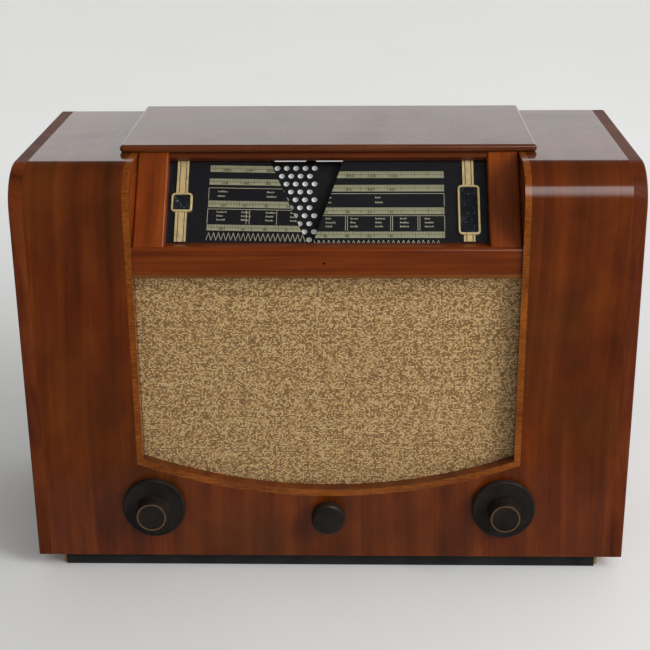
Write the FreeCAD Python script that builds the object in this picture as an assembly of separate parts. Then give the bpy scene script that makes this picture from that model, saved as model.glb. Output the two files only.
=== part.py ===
# A five-valve table radio in a veneered plywood cabinet, built piece by piece.
#
# Frame: X to the right, Y from the front towards the back, Z up. The origin is on the table under the
# middle of the radio's box, knobs included. Every builder works with Y = 0 on the front face of the
# cabinet and Z = 0 on the table; export() moves the finished piece back by ORIGIN_Y.
import FreeCAD
import Part
import math
import os

V = FreeCAD.Vector
X_AXIS = V(1, 0, 0)
Y_AXIS = V(0, 1, 0)
Z_AXIS = V(0, 0, 1)
GAP = 0.1                  # air left between two pieces that are only pushed together
FAR = 1000.0               # longer than anything in the radio, for half-space cutters

# ---------------------------------------------------------------- cabinet
WIDTH = 540.0
HEIGHT = 366.0             # underside of the cabinet to its flat top
DEPTH = 240.0
PLINTH = 13.0
PLY = 12.5                 # moulded sheet that makes the front and the top
SIDE_PLY = 12.0
SIDE_ROUND = 1.6           # outer edge of the sides, at the front and along the top
ROLL = 36.0                # radius of the front top edge
FLOOR_PLY = 12.0
INSIDE = WIDTH / 2 - SIDE_PLY
TOP = PLINTH + HEIGHT
UNDER_TOP = TOP - PLY
FLOOR_TOP = PLINTH + FLOOR_PLY

# ---------------------------------------------------------------- plinth
PLINTH_HALF = 249.0
PLINTH_FRONT = 9.6
PLINTH_BACK = 226.0
PLINTH_WIDE = 16.0
STRIP_THICK = 3.6

# ---------------------------------------------------------------- opening in the front
OPEN_HALF = 167.4
INLAY = 5.6
INLAY_THICK = 1.5
INLAY_BACK = 70.0          # how far the inlay runs back over the roll
ARC_OUTER = 492.7          # radius of the curved lower edge of the inlay
ARC_LOW = PLINTH + 61.8    # lowest point of that edge
ARC_INNER = ARC_OUTER - INLAY
ARC_Z = ARC_LOW + ARC_OUTER
NOTCH_BACK = 92.0          # how far the opening runs back through the flat top
NOTCH_WALL = 10.0

# ---------------------------------------------------------------- lid over the dial
LID_HALF = 183.5
LID_FRONT = 64.0
LID_BACK = 232.0
LID_THICK = 6.5
LID_ROUND = 3.0
LID_CORNER = 4.0

# ---------------------------------------------------------------- sloping dial
SLOPE = math.radians(42)   # lean of the dial from upright
SLOPE_Y = 5.0              # where the face of the cheeks meets the top of the rail
RAIL_TOP = PLINTH + 297.6
RAIL_BOTTOM = PLINTH + 274.5
RAIL_FRONT = 2.0
RAIL_BACK = 18.0
RAIL_ROUND = 4.0
PIN_HOLE = (-2.5, RAIL_BOTTOM + 9.5)
PIN_HOLE_R = 1.1
BEAD = 4.4
BEAD_BEHIND = 0.6          # face of the bead behind the rail's
CHEEK_THICK = 9.0
CHEEK_ROUND = 2.2
DIAL_HALF = 139.8          # half the width of the dial that shows
HEADER_LOW = 87.3          # along the slope
HEADER_FACE = 1.5          # depths below the face of the cheeks
HEADER_BACK = 7.6
PANE_OUT = 9.2             # depth below the face of the cheeks
PANE_THICK = 2.5
PANE_HALF = 150.0
PANE_LOW = 4.5             # along the slope
PANE_HIGH = 92.5
BREAK_LEFT = ((-49.9, 85.9), (-17.4, 8.6))   # edges of the missing wedge, (across, up the slope)
BREAK_RIGHT = ((12.7, 85.8), (-12.1, 8.6))
PLATE_DEPTH = 15.5
PLATE_THICK = 1.0
PLATE_HIGH = 89.0
PLATE_HALF = OPEN_HALF - 0.2
DOT_RADIUS = 2.6
DOT_PITCH = 8.3
DOT_ROW = 7.75
DOT_ROWS = 10
DOT_RIGHT = -11.5          # right-hand column of holes
DOT_TOP = 84.2
DOT_COLUMNS = 6
CARD_DEPTH = 17.3
CARD_THICK = 0.8
LAMP_DEPTH = 36.0
HOLDER_R = 5.5
BULB_R = 4.2
LEFT_WINDOW = (-136.6, -117.9, 37.4, 55.8)     # frames: left, right, low, high on the slope
RIGHT_WINDOW = (113.6, 132.8, 15.4, 63.0)
LEFT_BAR = (-132.5, -122.4)
RIGHT_BAR = (118.3, 128.1)
BAR_THICK = 1.2
GROOVE_R = 0.6
GROOVE_SHARES = (0.24, 0.78)                   # places of the grooves across a bar
FRAME_THICK = 2.4
FRAME_WALL = 1.8
FRAME_ROUND = 3.6
LENS_THICK = 1.3

# ---------------------------------------------------------------- controls
KNOB_X = 159.0
KNOB_Z = PLINTH + 51.9
WAVE_Z = PLINTH + 44.0
SHAFT_R = 3.175
SLEEVE_R = 4.75
SLEEVE_BORE = 3.25
RUNNING = 0.08             # radial clearance of a shaft in a bearing
DISC_R = 28.7
DISC_BACK = -1.2
DISC_FACE = -7.6
KNOB_BASE_R = 14.8
KNOB_FACE_R = 13.4
KNOB_BACK = -8.4
KNOB_FACE = -24.5
FLUTE_TOP = KNOB_FACE + 3.0
RING_R = 13.1
RING_WIDTH = 1.1
RING_THICK = 0.6
KNOB_FLUTES = 40
SOCKET_DEPTH = 6.0         # from the knob's face to the end of its shaft's hole
WAVE_R = 15.2
WAVE_BACK = -3.6
WAVE_FACE = -14.5
WAVE_FLUTES = 48
FRONT_HOLE_R = 7.0         # holes in the front panel for the two double shafts
WAVE_HOLE_R = 5.5

DUAL_MIDDLE = 43.0         # tone section of the double control ends, volume section begins
DUAL_BACK = 60.0
DRIVE_FRONT = 114.0        # can of the ball drive
DRIVE_BACK = 126.0

# ---------------------------------------------------------------- back
COVER_THICK = 3.0
COVER_BACK = DEPTH + COVER_THICK
REAR_REACH = 2.0           # screw heads and gland stand out of the cover by this much
SCREW_R = 1.6
SCREW_HEAD_R = 3.8
SCREW_LONG = 14.0
SLOT_LONG = 34.0
SLOT_R = 2.5
SLOT_COUNT = 11
SLOT_PITCH = 42.0
SLOT_ROWS = (TOP - 50, TOP - 70, TOP - 90, TOP - 180, TOP - 200, PLINTH + 104)
GLAND_NECK_R = 6.9
ORIGIN_Y = (KNOB_FACE + COVER_BACK + REAR_REACH) / 2

# ---------------------------------------------------------------- chassis
CHASSIS_HALF = 232.0
CHASSIS_FRONT = 30.0
CHASSIS_BACK = 230.0
CHASSIS_TOP = PLINTH + 80.0
SHEET = 1.2
SOCKET_X = (70.0, 92.0, 120.0, 142.0)
SOCKET_Z = PLINTH + 40.0
SOCKET_BORE = 2.0
SOCKET_TUBE_R = 3.5
GLAND_X = -150.0
GLAND_Z = PLINTH + 40.0
GLAND_BORE = 3.75
VALVE_XY = ((205.0, 155.0), (96.0, 155.0), (8.0, 155.0), (-82.0, 155.0), (-122.0, 155.0))
CAN_XY = ((52.0, 155.0), (-38.0, 155.0))
BOLT_XY = ((-215.0, 50.0), (215.0, 50.0), (-215.0, 198.0), (215.0, 198.0))
BOLT_R = 2.4
BOLT_HOLE_R = 2.6
VALVE_HOLE_R = 13.5
MOUNT_HOLE_R = 7.1         # holes in the chassis front for the bushes of the double shafts
WAVE_MOUNT_R = 5.0

# ---------------------------------------------------------------- loudspeaker
SPEAKER_Z = PLINTH + 165.0
BAFFLE_FRONT = 13.8
BAFFLE_THICK = 10.0
BAFFLE_BACK = BAFFLE_FRONT + BAFFLE_THICK
BAFFLE_HOLE_R = 73.0
CLOTH_HALF = OPEN_HALF + 8
CLOTH_MARGIN = 9.0         # how far the cloth reaches below the opening
CONE_R = 74.0
FLANGE_R = 82.5
POT_R = 36.0               # magnet
MAGNET_FRONT = 62.2
MAGNET_BACK = 94.0

# ---------------------------------------------------------------- tuning drive
DRUM_X = 150.0
DRUM_Z = PLINTH + 150.0
DRUM_R = 65.6              # to the middle of the pointer cord
CORD_Y = 98.0
CORD_R = 0.5
BELT_DRUM_R = 54.0
BELT_Y = 107.0
BELT_PULLEY_R = 12.0
PULLEY_R = 8.0
PULLEY_Z = PLINTH + 322.0
PULLEY_LEFT_X = -135.0
PIN_R = 1.5
PULLEY_RIGHT_X = DRUM_X + DRUM_R - PULLEY_R
RUN_Z = PULLEY_Z + PULLEY_R
POINTER_X = 106.0
ROD_S = 86.0               # guide rod: along the slope, and depth below its face
ROD_DEPTH = 34.0
ROD_R = 2.0
ROD_SEAT = 4.0             # length of rod let into each notch wall
GANG_FRONT = 118.0
GANG_BACK = 174.0
VANE_R = 27.0
VANE_THICK = 0.8
VANE_PITCH = 4.0
VANES = 5


# ================================================================ helpers
def box(x0, x1, y0, y1, z0, z1):
    """A block between two corners."""
    return Part.makeBox(x1 - x0, y1 - y0, z1 - z0, V(x0, y0, z0))


def rod_y(x, z, r, y0, y1):
    """A round bar along Y."""
    return Part.makeCylinder(r, y1 - y0, V(x, y0, z), Y_AXIS)


def rod_z(x, y, r, z0, z1):
    """A round bar along Z."""
    return Part.makeCylinder(r, z1 - z0, V(x, y, z0), Z_AXIS)


def ring_y(x, z, r_in, r_out, y0, y1):
    """A tube along Y."""
    return rod_y(x, z, r_out, y0, y1).cut(rod_y(x, z, r_in, y0 - 1, y1 + 1))


def polygon(points, push):
    """A flat outline of straight lines, pushed into a solid."""
    corners = [V(*p) for p in points]
    return Part.Face(Part.makePolygon(corners + corners[:1])).extrude(V(*push))


def outline(edges, push):
    """A closed outline of lines and arcs, pushed into a solid."""
    return Part.Face(Part.Wire(Part.__sortEdges__(edges))).extrude(V(*push))


def line(a, b):
    """A straight edge."""
    return Part.LineSegment(V(*a), V(*b)).toShape()


def arc(a, middle, b):
    """A round edge through three points."""
    return Part.Arc(V(*a), V(*middle), V(*b)).toShape()


def turned_y(x, z, profile):
    """A body of revolution about a line along Y. The profile is a list of (radius, y)."""
    points = [V(x + r, y, z) for r, y in profile]
    face = Part.Face(Part.makePolygon(points + points[:1]))
    return face.revolve(V(x, 0, z), Y_AXIS, 360)


def turned_z(x, y, profile):
    """A body of revolution about a line along Z. The profile is a list of (radius, z)."""
    points = [V(x + r, y, z) for r, z in profile]
    face = Part.Face(Part.makePolygon(points + points[:1]))
    return face.revolve(V(x, y, 0), Z_AXIS, 360)


def mirrored(shape):
    """The same piece for the other side of the radio."""
    return shape.mirror(V(0, 0, 0), X_AXIS)


def rounded(shape, radius, wanted):
    """The shape with the edges that wanted() picks rounded."""
    return shape.makeFillet(radius, [e for e in shape.Edges if wanted(e)])


def fused(shapes):
    """Several touching shapes as one solid."""
    return shapes[0].multiFuse(shapes[1:]).removeSplitter() if len(shapes) > 1 else shapes[0]


def on_slope(shape):
    """Moves a shape from the slope's own axes (across, up the slope, out of it) to the radio's."""
    s, c = math.sin(SLOPE), math.cos(SLOPE)
    place = FreeCAD.Matrix(1, 0, 0, 0,
                           0, s, -c, SLOPE_Y,
                           0, c, s, RAIL_TOP,
                           0, 0, 0, 1)
    return shape.transformed(place)


def slope_point(u, s, depth):
    """A point given on the slope, in the radio's axes."""
    return V(u,
             SLOPE_Y + s * math.sin(SLOPE) + depth * math.cos(SLOPE),
             RAIL_TOP + s * math.cos(SLOPE) - depth * math.sin(SLOPE))


def export(name, *solids):
    """Writes one node, a single solid or a group of them."""
    shape = solids[0] if len(solids) == 1 else Part.makeCompound(list(solids))
    shape = shape.copy()
    shape.translate(V(0, -ORIGIN_Y, 0))
    shape.exportStep("parts/" + name + ".step")


# ================================================================ cabinet
def shell_profile(inset, low, back):
    """Edges of the cabinet's side outline, moved inwards by inset, from low up and back to back."""
    r = ROLL - inset
    k = r * math.sqrt(0.5)
    top = TOP - inset
    return [line((0, inset, low), (0, inset, TOP - ROLL)),
            arc((0, inset, TOP - ROLL), (0, ROLL - k, TOP - ROLL + k), (0, ROLL, top)),
            line((0, ROLL, top), (0, back, top))]


def shell(x0, x1, outer, inner, low, back):
    """A bent sheet between two insets of the cabinet's outline."""
    edges = shell_profile(outer, low, back) + shell_profile(inner, low, back)
    edges.append(line((0, outer, low), (0, inner, low)))
    edges.append(line((0, back, TOP - outer), (0, back, TOP - inner)))
    solid = outline(edges, (x1 - x0, 0, 0))
    solid.translate(V(x0, 0, 0))
    return solid


def arc_height(x, radius):
    """Height of the curved lower edge at x."""
    return ARC_Z - math.sqrt(radius ** 2 - x ** 2)


def opening(half, radius, y0, y1, z_top):
    """The outline of the front opening, flat at the sides and top, curved below."""
    z = arc_height(half, radius)
    edges = [line((-half, y0, z), (-half, y0, z_top)),
             line((-half, y0, z_top), (half, y0, z_top)),
             line((half, y0, z_top), (half, y0, z)),
             arc((half, y0, z), (0, y0, ARC_Z - radius), (-half, y0, z))]
    return outline(edges, (0, y1 - y0, 0))


def inlay_strips():
    """The light strip round the opening: two uprights that follow the roll, and the curved one."""
    corner = arc_height(OPEN_HALF, ARC_INNER)
    right = shell(OPEN_HALF, OPEN_HALF + INLAY, 0, INLAY_THICK, corner, INLAY_BACK)
    low = opening(OPEN_HALF + INLAY, ARC_OUTER, 0, INLAY_THICK, corner)
    low = low.cut(opening(OPEN_HALF, ARC_INNER, -1, INLAY_THICK + 1, corner + 1))
    return mirrored(right), right, low


def cabinet():
    """Front and top sheet, sides, floor, inlay and lid."""
    strips = inlay_strips()
    front = shell(-INSIDE, INSIDE, 0, PLY, PLINTH, DEPTH)
    front = front.cut(opening(OPEN_HALF, ARC_INNER, -1, NOTCH_BACK, TOP + 1))
    for strip in strips:
        front = front.cut(strip)
    holes = ((-KNOB_X, KNOB_Z, FRONT_HOLE_R), (KNOB_X, KNOB_Z, FRONT_HOLE_R), (0, WAVE_Z, WAVE_HOLE_R))
    for x, z, r in holes:
        front = front.cut(rod_y(x, z, r, -1, PLY + 1))
    export("front_panel", front)
    export("opening_inlay", *strips)

    edges = shell_profile(0, PLINTH, DEPTH)
    edges += [line((0, 0, PLINTH), (0, DEPTH, PLINTH)), line((0, DEPTH, PLINTH), (0, DEPTH, TOP))]
    side = outline(edges, (SIDE_PLY, 0, 0))
    side.translate(V(INSIDE, 0, 0))
    outer = WIDTH / 2

    def is_show_edge(edge):
        at = edge.CenterOfMass
        return abs(at.x - outer) < 0.01 and at.z > PLINTH + 1 and at.y < DEPTH - 1

    side = rounded(side, SIDE_ROUND, is_show_edge)
    export("side_panels", mirrored(side), side)
    floor = box(-INSIDE, INSIDE, PLY, DEPTH, PLINTH, FLOOR_TOP)
    for x, y in BOLT_XY:
        floor = floor.cut(rod_z(x, y, BOLT_HOLE_R, PLINTH - 1, FLOOR_TOP + 1))
    export("base_board", floor)

    lid = box(-LID_HALF, LID_HALF, LID_FRONT, LID_BACK, TOP, TOP + LID_THICK)

    def is_lid_edge(edge):
        at = edge.CenterOfMass
        flat = abs(edge.BoundBox.ZLength) < 0.01
        return flat and at.y < LID_BACK - 1

    corners = [e for e in lid.Edges if e.BoundBox.ZLength > 1 and e.CenterOfMass.y < LID_FRONT + 1]
    lid = lid.makeFillet(LID_CORNER, corners)
    export("top_lid", rounded(lid, LID_ROUND, is_lid_edge))


def notch_walls():
    """Boards behind the front panel that close the wings beside the dial."""
    low = RAIL_BOTTOM - BEAD - 0.2
    edges = shell_profile(PLY, low, NOTCH_BACK)
    edges += [line((0, PLY, low), (0, NOTCH_BACK, low)),
              line((0, NOTCH_BACK, low), (0, NOTCH_BACK, UNDER_TOP))]
    wall = outline(edges, (NOTCH_WALL, 0, 0))
    wall.translate(V(OPEN_HALF, 0, 0))
    end = slope_point(OPEN_HALF, ROD_S, ROD_DEPTH)
    wall = wall.cut(Part.makeCylinder(ROD_R + 0.05, 6, V(OPEN_HALF - 1, end.y, end.z), X_AXIS))
    export("notch_walls", mirrored(wall), wall)


def dial_surround():
    """Two sloping cheeks, the header between them, the rail below and its bead."""
    between = box(-FAR, FAR, -FAR, FAR, RAIL_TOP, TOP - GAP)
    below, above = -20.0, 120.0
    cheek = box(DIAL_HALF, OPEN_HALF - GAP, below, above, -CHEEK_THICK, 0)

    def is_long_front_edge(edge):
        at = edge.CenterOfMass
        return abs(at.z) < 0.01 and edge.BoundBox.YLength > above

    cheek = rounded(cheek, CHEEK_ROUND, is_long_front_edge)
    cheek = on_slope(cheek).common(between)
    header = box(-DIAL_HALF, DIAL_HALF, HEADER_LOW, above, -HEADER_BACK, -HEADER_FACE)
    header = on_slope(header).common(between)
    export("dial_surround", mirrored(cheek), header, cheek)

    export("dial_rail", rail())
    front = RAIL_FRONT + BEAD_BEHIND
    bead = box(-OPEN_HALF + GAP, OPEN_HALF - GAP, front, PLY - GAP, RAIL_BOTTOM - BEAD, RAIL_BOTTOM)
    export("rail_bead", rounded(bead, 1.2, lambda e: abs(e.CenterOfMass.y - front) < 0.01
                                and e.BoundBox.XLength > OPEN_HALF))


def rail():
    """The rail under the dial, with a rounded front and a rebate that the glass stands in."""
    air = PANE_OUT - GAP
    foot = PANE_LOW - 0.3
    glass = slope_point(0, foot, air)
    ledge = slope_point(0, foot, PANE_OUT + PANE_THICK + 1)
    meet = slope_point(0, 0, air)
    lip = meet.y + (RAIL_TOP - meet.z) * math.tan(SLOPE)
    k = RAIL_ROUND * (1 - math.sqrt(0.5))
    x = -OPEN_HALF + GAP
    edges = [line((x, RAIL_FRONT, RAIL_BOTTOM), (x, RAIL_FRONT, RAIL_TOP - RAIL_ROUND)),
             arc((x, RAIL_FRONT, RAIL_TOP - RAIL_ROUND), (x, RAIL_FRONT + k, RAIL_TOP - k),
                 (x, RAIL_FRONT + RAIL_ROUND, RAIL_TOP)),
             line((x, RAIL_FRONT + RAIL_ROUND, RAIL_TOP), (x, lip, RAIL_TOP)),
             line((x, lip, RAIL_TOP), (x, glass.y, glass.z)),
             line((x, glass.y, glass.z), (x, ledge.y, ledge.z)),
             line((x, ledge.y, ledge.z), (x, RAIL_BACK, ledge.z)),
             line((x, RAIL_BACK, ledge.z), (x, RAIL_BACK, RAIL_BOTTOM)),
             line((x, RAIL_BACK, RAIL_BOTTOM), (x, RAIL_FRONT, RAIL_BOTTOM))]
    solid = outline(edges, (2 * (OPEN_HALF - GAP), 0, 0))
    return solid.cut(rod_y(*PIN_HOLE, PIN_HOLE_R, RAIL_FRONT - 1, RAIL_FRONT + 4))


def baffle_outline(half, margin, y0, y1):
    """The opening's outline, larger by margin below, for what lies behind the front panel."""
    return opening(half, ARC_INNER + margin, y0, y1, RAIL_BOTTOM - BEAD - 0.5)


def grille():
    """Cloth, and the board behind it that carries the loudspeaker."""
    cloth = baffle_outline(CLOTH_HALF, CLOTH_MARGIN, PLY + GAP, BAFFLE_FRONT - GAP)
    export("grille_cloth", cloth)
    board = baffle_outline(CLOTH_HALF + 2, CLOTH_MARGIN + 2, BAFFLE_FRONT, BAFFLE_BACK)
    board = board.cut(rod_y(0, SPEAKER_Z, BAFFLE_HOLE_R, BAFFLE_FRONT - 1, BAFFLE_BACK + 1))
    export("baffle_board", board)


def plinth():
    """Four battens under the floor, and the painted strip that hides the front one."""
    half, front, back, wide = PLINTH_HALF, PLINTH_FRONT, PLINTH_BACK, PLINTH_WIDE
    rails = (box(-half, half, front, front + wide, 0, PLINTH),
             box(-half, half, back - wide, back, 0, PLINTH),
             box(-half, -half + wide, front + wide, back - wide, 0, PLINTH),
             box(half - wide, half, front + wide, back - wide, 0, PLINTH))
    export("plinth_battens", *rails)
    strip_half = half - 3
    export("plinth_front", box(-strip_half, strip_half, front - STRIP_THICK, front, 0, PLINTH))


def cover_screw(x, z):
    """A slotted round-head screw in the rear cover."""
    out = REAR_REACH
    y = COVER_BACK
    head = turned_y(x, z, ((0, y + out), (2.2, y + out * 0.8), (3.6, y + out * 0.3),
                           (SCREW_HEAD_R, y), (0, y)))
    slot = box(x - SCREW_HEAD_R, x + SCREW_HEAD_R, y + out * 0.45, y + out + 1, z - 0.5, z + 0.5)
    return head.cut(slot).fuse(rod_y(x, z, SCREW_R, y - SCREW_LONG, y))


def air_slot(x, z):
    """The cutter for one slot with round ends in the rear cover."""
    half, r = SLOT_LONG / 2 - SLOT_R, SLOT_R
    y0, y1 = DEPTH - 1, COVER_BACK + 1
    return fused([box(x - half, x + half, y0, y1, z - r, z + r),
                  rod_y(x - half, z, r, y0, y1), rod_y(x + half, z, r, y0, y1)])


def rear():
    """Fibreboard cover with rows of slots, its screws, and the rubber gland for a mains lead."""
    edge = INSIDE + 7
    cover = box(-edge, edge, DEPTH, COVER_BACK, PLINTH + 2, TOP - 3)
    cover = rounded(cover, 5.0, lambda e: e.BoundBox.YLength > 1 and e.BoundBox.ZLength < 0.01
                    and e.BoundBox.XLength < 0.01)
    for z in SLOT_ROWS:
        for i in range(SLOT_COUNT):
            cover = cover.cut(air_slot((i - (SLOT_COUNT - 1) / 2) * SLOT_PITCH, z))
    margin = 16.0
    x0, x1 = SOCKET_X[0] - margin, SOCKET_X[-1] + margin
    cover = cover.cut(box(x0, x1, DEPTH - 1, COVER_BACK + 1, SOCKET_Z - margin, SOCKET_Z + margin))
    cover = cover.cut(rod_y(GLAND_X, GLAND_Z, GLAND_NECK_R + 0.1, DEPTH - 1, COVER_BACK + 1))
    side_x = INSIDE + 1.5
    spots = [(x, z) for x in (-side_x, side_x) for z in (PLINTH + 20, PLINTH + 183, TOP - 46)]
    spots += [(x, z) for x in (-120.0, 120.0) for z in (PLINTH + 6.0, TOP - 7.0)]
    for x, z in spots:
        cover = cover.cut(rod_y(x, z, SCREW_R + 0.2, DEPTH - 1, COVER_BACK + 1))
    export("rear_cover", cover)
    export("rear_cover_screws", *[cover_screw(x, z) for x, z in spots])

    inner, lip, rim, neck = GLAND_BORE, 8.4, 8.9, GLAND_NECK_R
    end = COVER_BACK + REAR_REACH
    export("mains_gland", turned_y(GLAND_X, GLAND_Z, (
        (inner, DEPTH - 3), (lip, DEPTH - 3), (rim, DEPTH - 1.5), (rim, DEPTH - GAP), (neck, DEPTH - GAP),
        (neck, COVER_BACK + GAP), (rim, COVER_BACK + GAP), (lip, end), (inner, end))))


# ================================================================ dial
def break_line(points, s):
    """Where the edge of a broken pane is, at s up the slope."""
    (u1, s1), (u0, s0) = points
    return u0 + (u1 - u0) * (s - s0) / (s1 - s0)


def pane(side):
    """One of the two glass panes; side is -1 for the left one."""
    edge = BREAK_LEFT if side < 0 else BREAK_RIGHT
    low, high = -PANE_OUT - PANE_THICK, PANE_THICK
    points = ((side * PANE_HALF, PANE_LOW, low), (break_line(edge, PANE_LOW), PANE_LOW, low),
              (break_line(edge, PANE_HIGH), PANE_HIGH, low), (side * PANE_HALF, PANE_HIGH, low))
    return on_slope(polygon(points, (0, 0, high)))


def escutcheon(window, bar):
    """A bar over the pane with two grooves, and a raised frame round a window, as one pressing."""
    left, right, low, high = window
    bar_left, bar_right = bar
    base = -PANE_OUT + GAP
    face = base + BAR_THICK
    strip = box(bar_left, bar_right, PANE_LOW + 4.5, PANE_HIGH - 5, base, face)
    for share in GROOVE_SHARES:
        u = bar_left + share * (bar_right - bar_left)
        strip = strip.cut(Part.makeCylinder(GROOVE_R, PANE_HIGH, V(u, 0, face + GROOVE_R / 2), Y_AXIS))
    frame = box(left, right, low, high, base, base + FRAME_THICK)
    frame = rounded(frame, FRAME_ROUND, lambda e: e.BoundBox.ZLength > FRAME_THICK / 2)
    frame = rounded(frame, 0.7, lambda e: e.CenterOfMass.z > base + FRAME_THICK - 0.1)
    wall = FRAME_WALL
    hole = box(left + wall, right - wall, low + wall, high - wall, base - 1, face + FRAME_THICK)
    hole = rounded(hole, FRAME_ROUND - wall, lambda e: e.BoundBox.ZLength > FRAME_THICK)
    return on_slope(strip.fuse(frame).cut(hole).removeSplitter())


def lens(window):
    """The glass inside a window frame."""
    left, right, low, high = window
    base = -PANE_OUT + GAP
    wall = FRAME_WALL + GAP
    glass = box(left + wall, right - wall, low + wall, high - wall, base, base + LENS_THICK)
    return on_slope(rounded(glass, FRAME_ROUND - wall, lambda e: e.BoundBox.ZLength > 1))


def dial():
    """Two panes with their windows, the plate of spots behind, its card, and the lamps."""
    export("dial_panes", pane(-1), pane(1))
    export("escutcheons", escutcheon(LEFT_WINDOW, LEFT_BAR), escutcheon(RIGHT_WINDOW, RIGHT_BAR))
    export("window_lenses", lens(LEFT_WINDOW), lens(RIGHT_WINDOW))

    back = -PLATE_DEPTH - PLATE_THICK
    plate = box(-PLATE_HALF, PLATE_HALF, PANE_LOW, PLATE_HIGH, back, -PLATE_DEPTH)
    for row in range(DOT_ROWS):
        odd = row % 2
        for column in range(DOT_COLUMNS - odd):
            u = DOT_RIGHT - DOT_PITCH * (column + odd / 2)
            s = DOT_TOP - DOT_ROW * row
            plate = plate.cut(Part.makeCylinder(DOT_RADIUS, PLATE_THICK + 2, V(u, s, back - 1)))
    export("dial_backplate", on_slope(plate))
    card = box(-70, 2, PANE_LOW + 2, PLATE_HIGH, -CARD_DEPTH - CARD_THICK, -CARD_DEPTH)
    export("diffuser_card", on_slope(card))
    dial_lamps()


def dial_lamps():
    """A bracket behind the dial with three bulbs in their holders."""
    s = 24.0
    thick = 1.5
    bracket = [box(-PLATE_HALF, PLATE_HALF, s - 10, s + 10, -LAMP_DEPTH - thick, -LAMP_DEPTH)]
    bulbs = []
    for u in (-95.0, 0.0, 95.0):
        holder = Part.makeCylinder(HOLDER_R, 9, V(u, s, -LAMP_DEPTH))
        bracket.append(holder.cut(Part.makeCylinder(HOLDER_R - 0.9, 8, V(u, s, -LAMP_DEPTH + 4))))
        cap = Part.makeCylinder(HOLDER_R - 1.1, 4.5, V(u, s, -LAMP_DEPTH + 4.1))
        bulb = Part.makeSphere(BULB_R, V(u, s, -LAMP_DEPTH + 10.5))
        bulbs.append(on_slope(cap.fuse(bulb).removeSplitter()))
    export("dial_lamps", on_slope(fused(bracket)), *bulbs)


# ================================================================ knobs and what they turn
def fluted(body, x, z, count, r, groove, y0, y1):
    """The body with round grooves cut along Y all round its rim."""
    for i in range(count):
        a = 2 * math.pi * i / count
        body = body.cut(rod_y(x + r * math.cos(a), z + r * math.sin(a), groove, y0, y1))
    return body


def inner_knob(x):
    """The small fluted knob, with a seat for its ring, and its bore."""
    face, inside = KNOB_FACE, RING_R - RING_WIDTH
    body = turned_y(x, KNOB_Z, (
        (0, KNOB_BACK), (KNOB_BASE_R - 0.8, KNOB_BACK), (KNOB_BASE_R, KNOB_BACK - 0.9),
        (KNOB_FACE_R + 0.5, face + 1.2), (KNOB_FACE_R, face + 0.2), (RING_R, face),
        (RING_R, face + RING_THICK), (inside, face + RING_THICK),
        (inside, face + 0.1), (inside - 2.2, face + 0.3), (0, face + 0.3)))
    body = body.cut(rod_y(x, KNOB_Z, SHAFT_R, face + SOCKET_DEPTH, KNOB_BACK + 1))
    return fluted(body, x, KNOB_Z, KNOB_FLUTES, KNOB_BASE_R + 0.35, 0.9, FLUTE_TOP, KNOB_BACK + 1)


def knob_ring(x):
    """The thin brass ring let into the small knob's face."""
    return ring_y(x, KNOB_Z, RING_R - RING_WIDTH, RING_R, KNOB_FACE, KNOB_FACE + RING_THICK)


def outer_knob(x):
    """The large disc behind the small knob."""
    rim, seat = DISC_FACE + 0.5, DISC_FACE + 0.3
    return turned_y(x, KNOB_Z, (
        (SLEEVE_R, DISC_BACK), (DISC_R - 1.4, DISC_BACK), (DISC_R, DISC_BACK - 1.6),
        (DISC_R, DISC_FACE + 1.6),
        (DISC_R - 0.5, rim), (DISC_R - 1.6, DISC_FACE), (DISC_R - 4, rim),
        (KNOB_BASE_R + 1.5, rim), (KNOB_BASE_R, seat), (SLEEVE_R, seat)))


def wave_knob():
    """The single fluted knob in the middle."""
    back, face = WAVE_BACK, WAVE_FACE
    knob = turned_y(0, WAVE_Z, (
        (0, back), (WAVE_R - 1.6, back), (WAVE_R, back - 1.5), (WAVE_R, face + 2.4),
        (WAVE_R - 0.5, face + 1.2), (WAVE_R - 1.6, face + 0.4), (WAVE_R - 4, face), (0, face)))
    knob = fluted(knob, 0, WAVE_Z, WAVE_FLUTES, WAVE_R + 0.5, 0.8, face + 2.4, back + 1)
    return knob.cut(rod_y(0, WAVE_Z, SHAFT_R, face + 4, back + 1))


def controls():
    """The knobs with their rings and shafts."""
    shaft_end = KNOB_FACE + SOCKET_DEPTH + 0.2
    for name, x in (("volume", -KNOB_X), ("fine_tuning", KNOB_X)):
        export(name + "_knob", inner_knob(x))
        export(name + "_ring", knob_ring(x))
    export("tone_knob", outer_knob(-KNOB_X))
    export("fast_tuning_knob", outer_knob(KNOB_X))
    export("wave_knob", wave_knob())
    export("volume_shaft", rod_y(-KNOB_X, KNOB_Z, SHAFT_R, shaft_end, DUAL_BACK - 4))
    export("tone_sleeve", ring_y(-KNOB_X, KNOB_Z, SLEEVE_BORE, SLEEVE_R, DISC_FACE + 0.3, DUAL_MIDDLE - 2))
    export("fine_tuning_shaft", rod_y(KNOB_X, KNOB_Z, SHAFT_R, shaft_end, DRIVE_BACK))

    sleeve = ring_y(KNOB_X, KNOB_Z, SLEEVE_BORE, SLEEVE_R, DISC_FACE + 0.3, DRIVE_FRONT - 2)
    flange, bottom, inner = BELT_PULLEY_R + 2, BELT_PULLEY_R - CORD_R - 0.2, SLEEVE_R - 0.5
    y = BELT_Y
    groove = turned_y(KNOB_X, KNOB_Z, (
        (inner, y - 3.5), (flange, y - 3.5), (flange, y - 2.2), (bottom, y - 0.8),
        (bottom, y + 0.8), (flange, y + 2.2), (flange, y + 3.5), (inner, y + 3.5)))
    export("fast_tuning_sleeve", sleeve.fuse(groove).removeSplitter())


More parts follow.
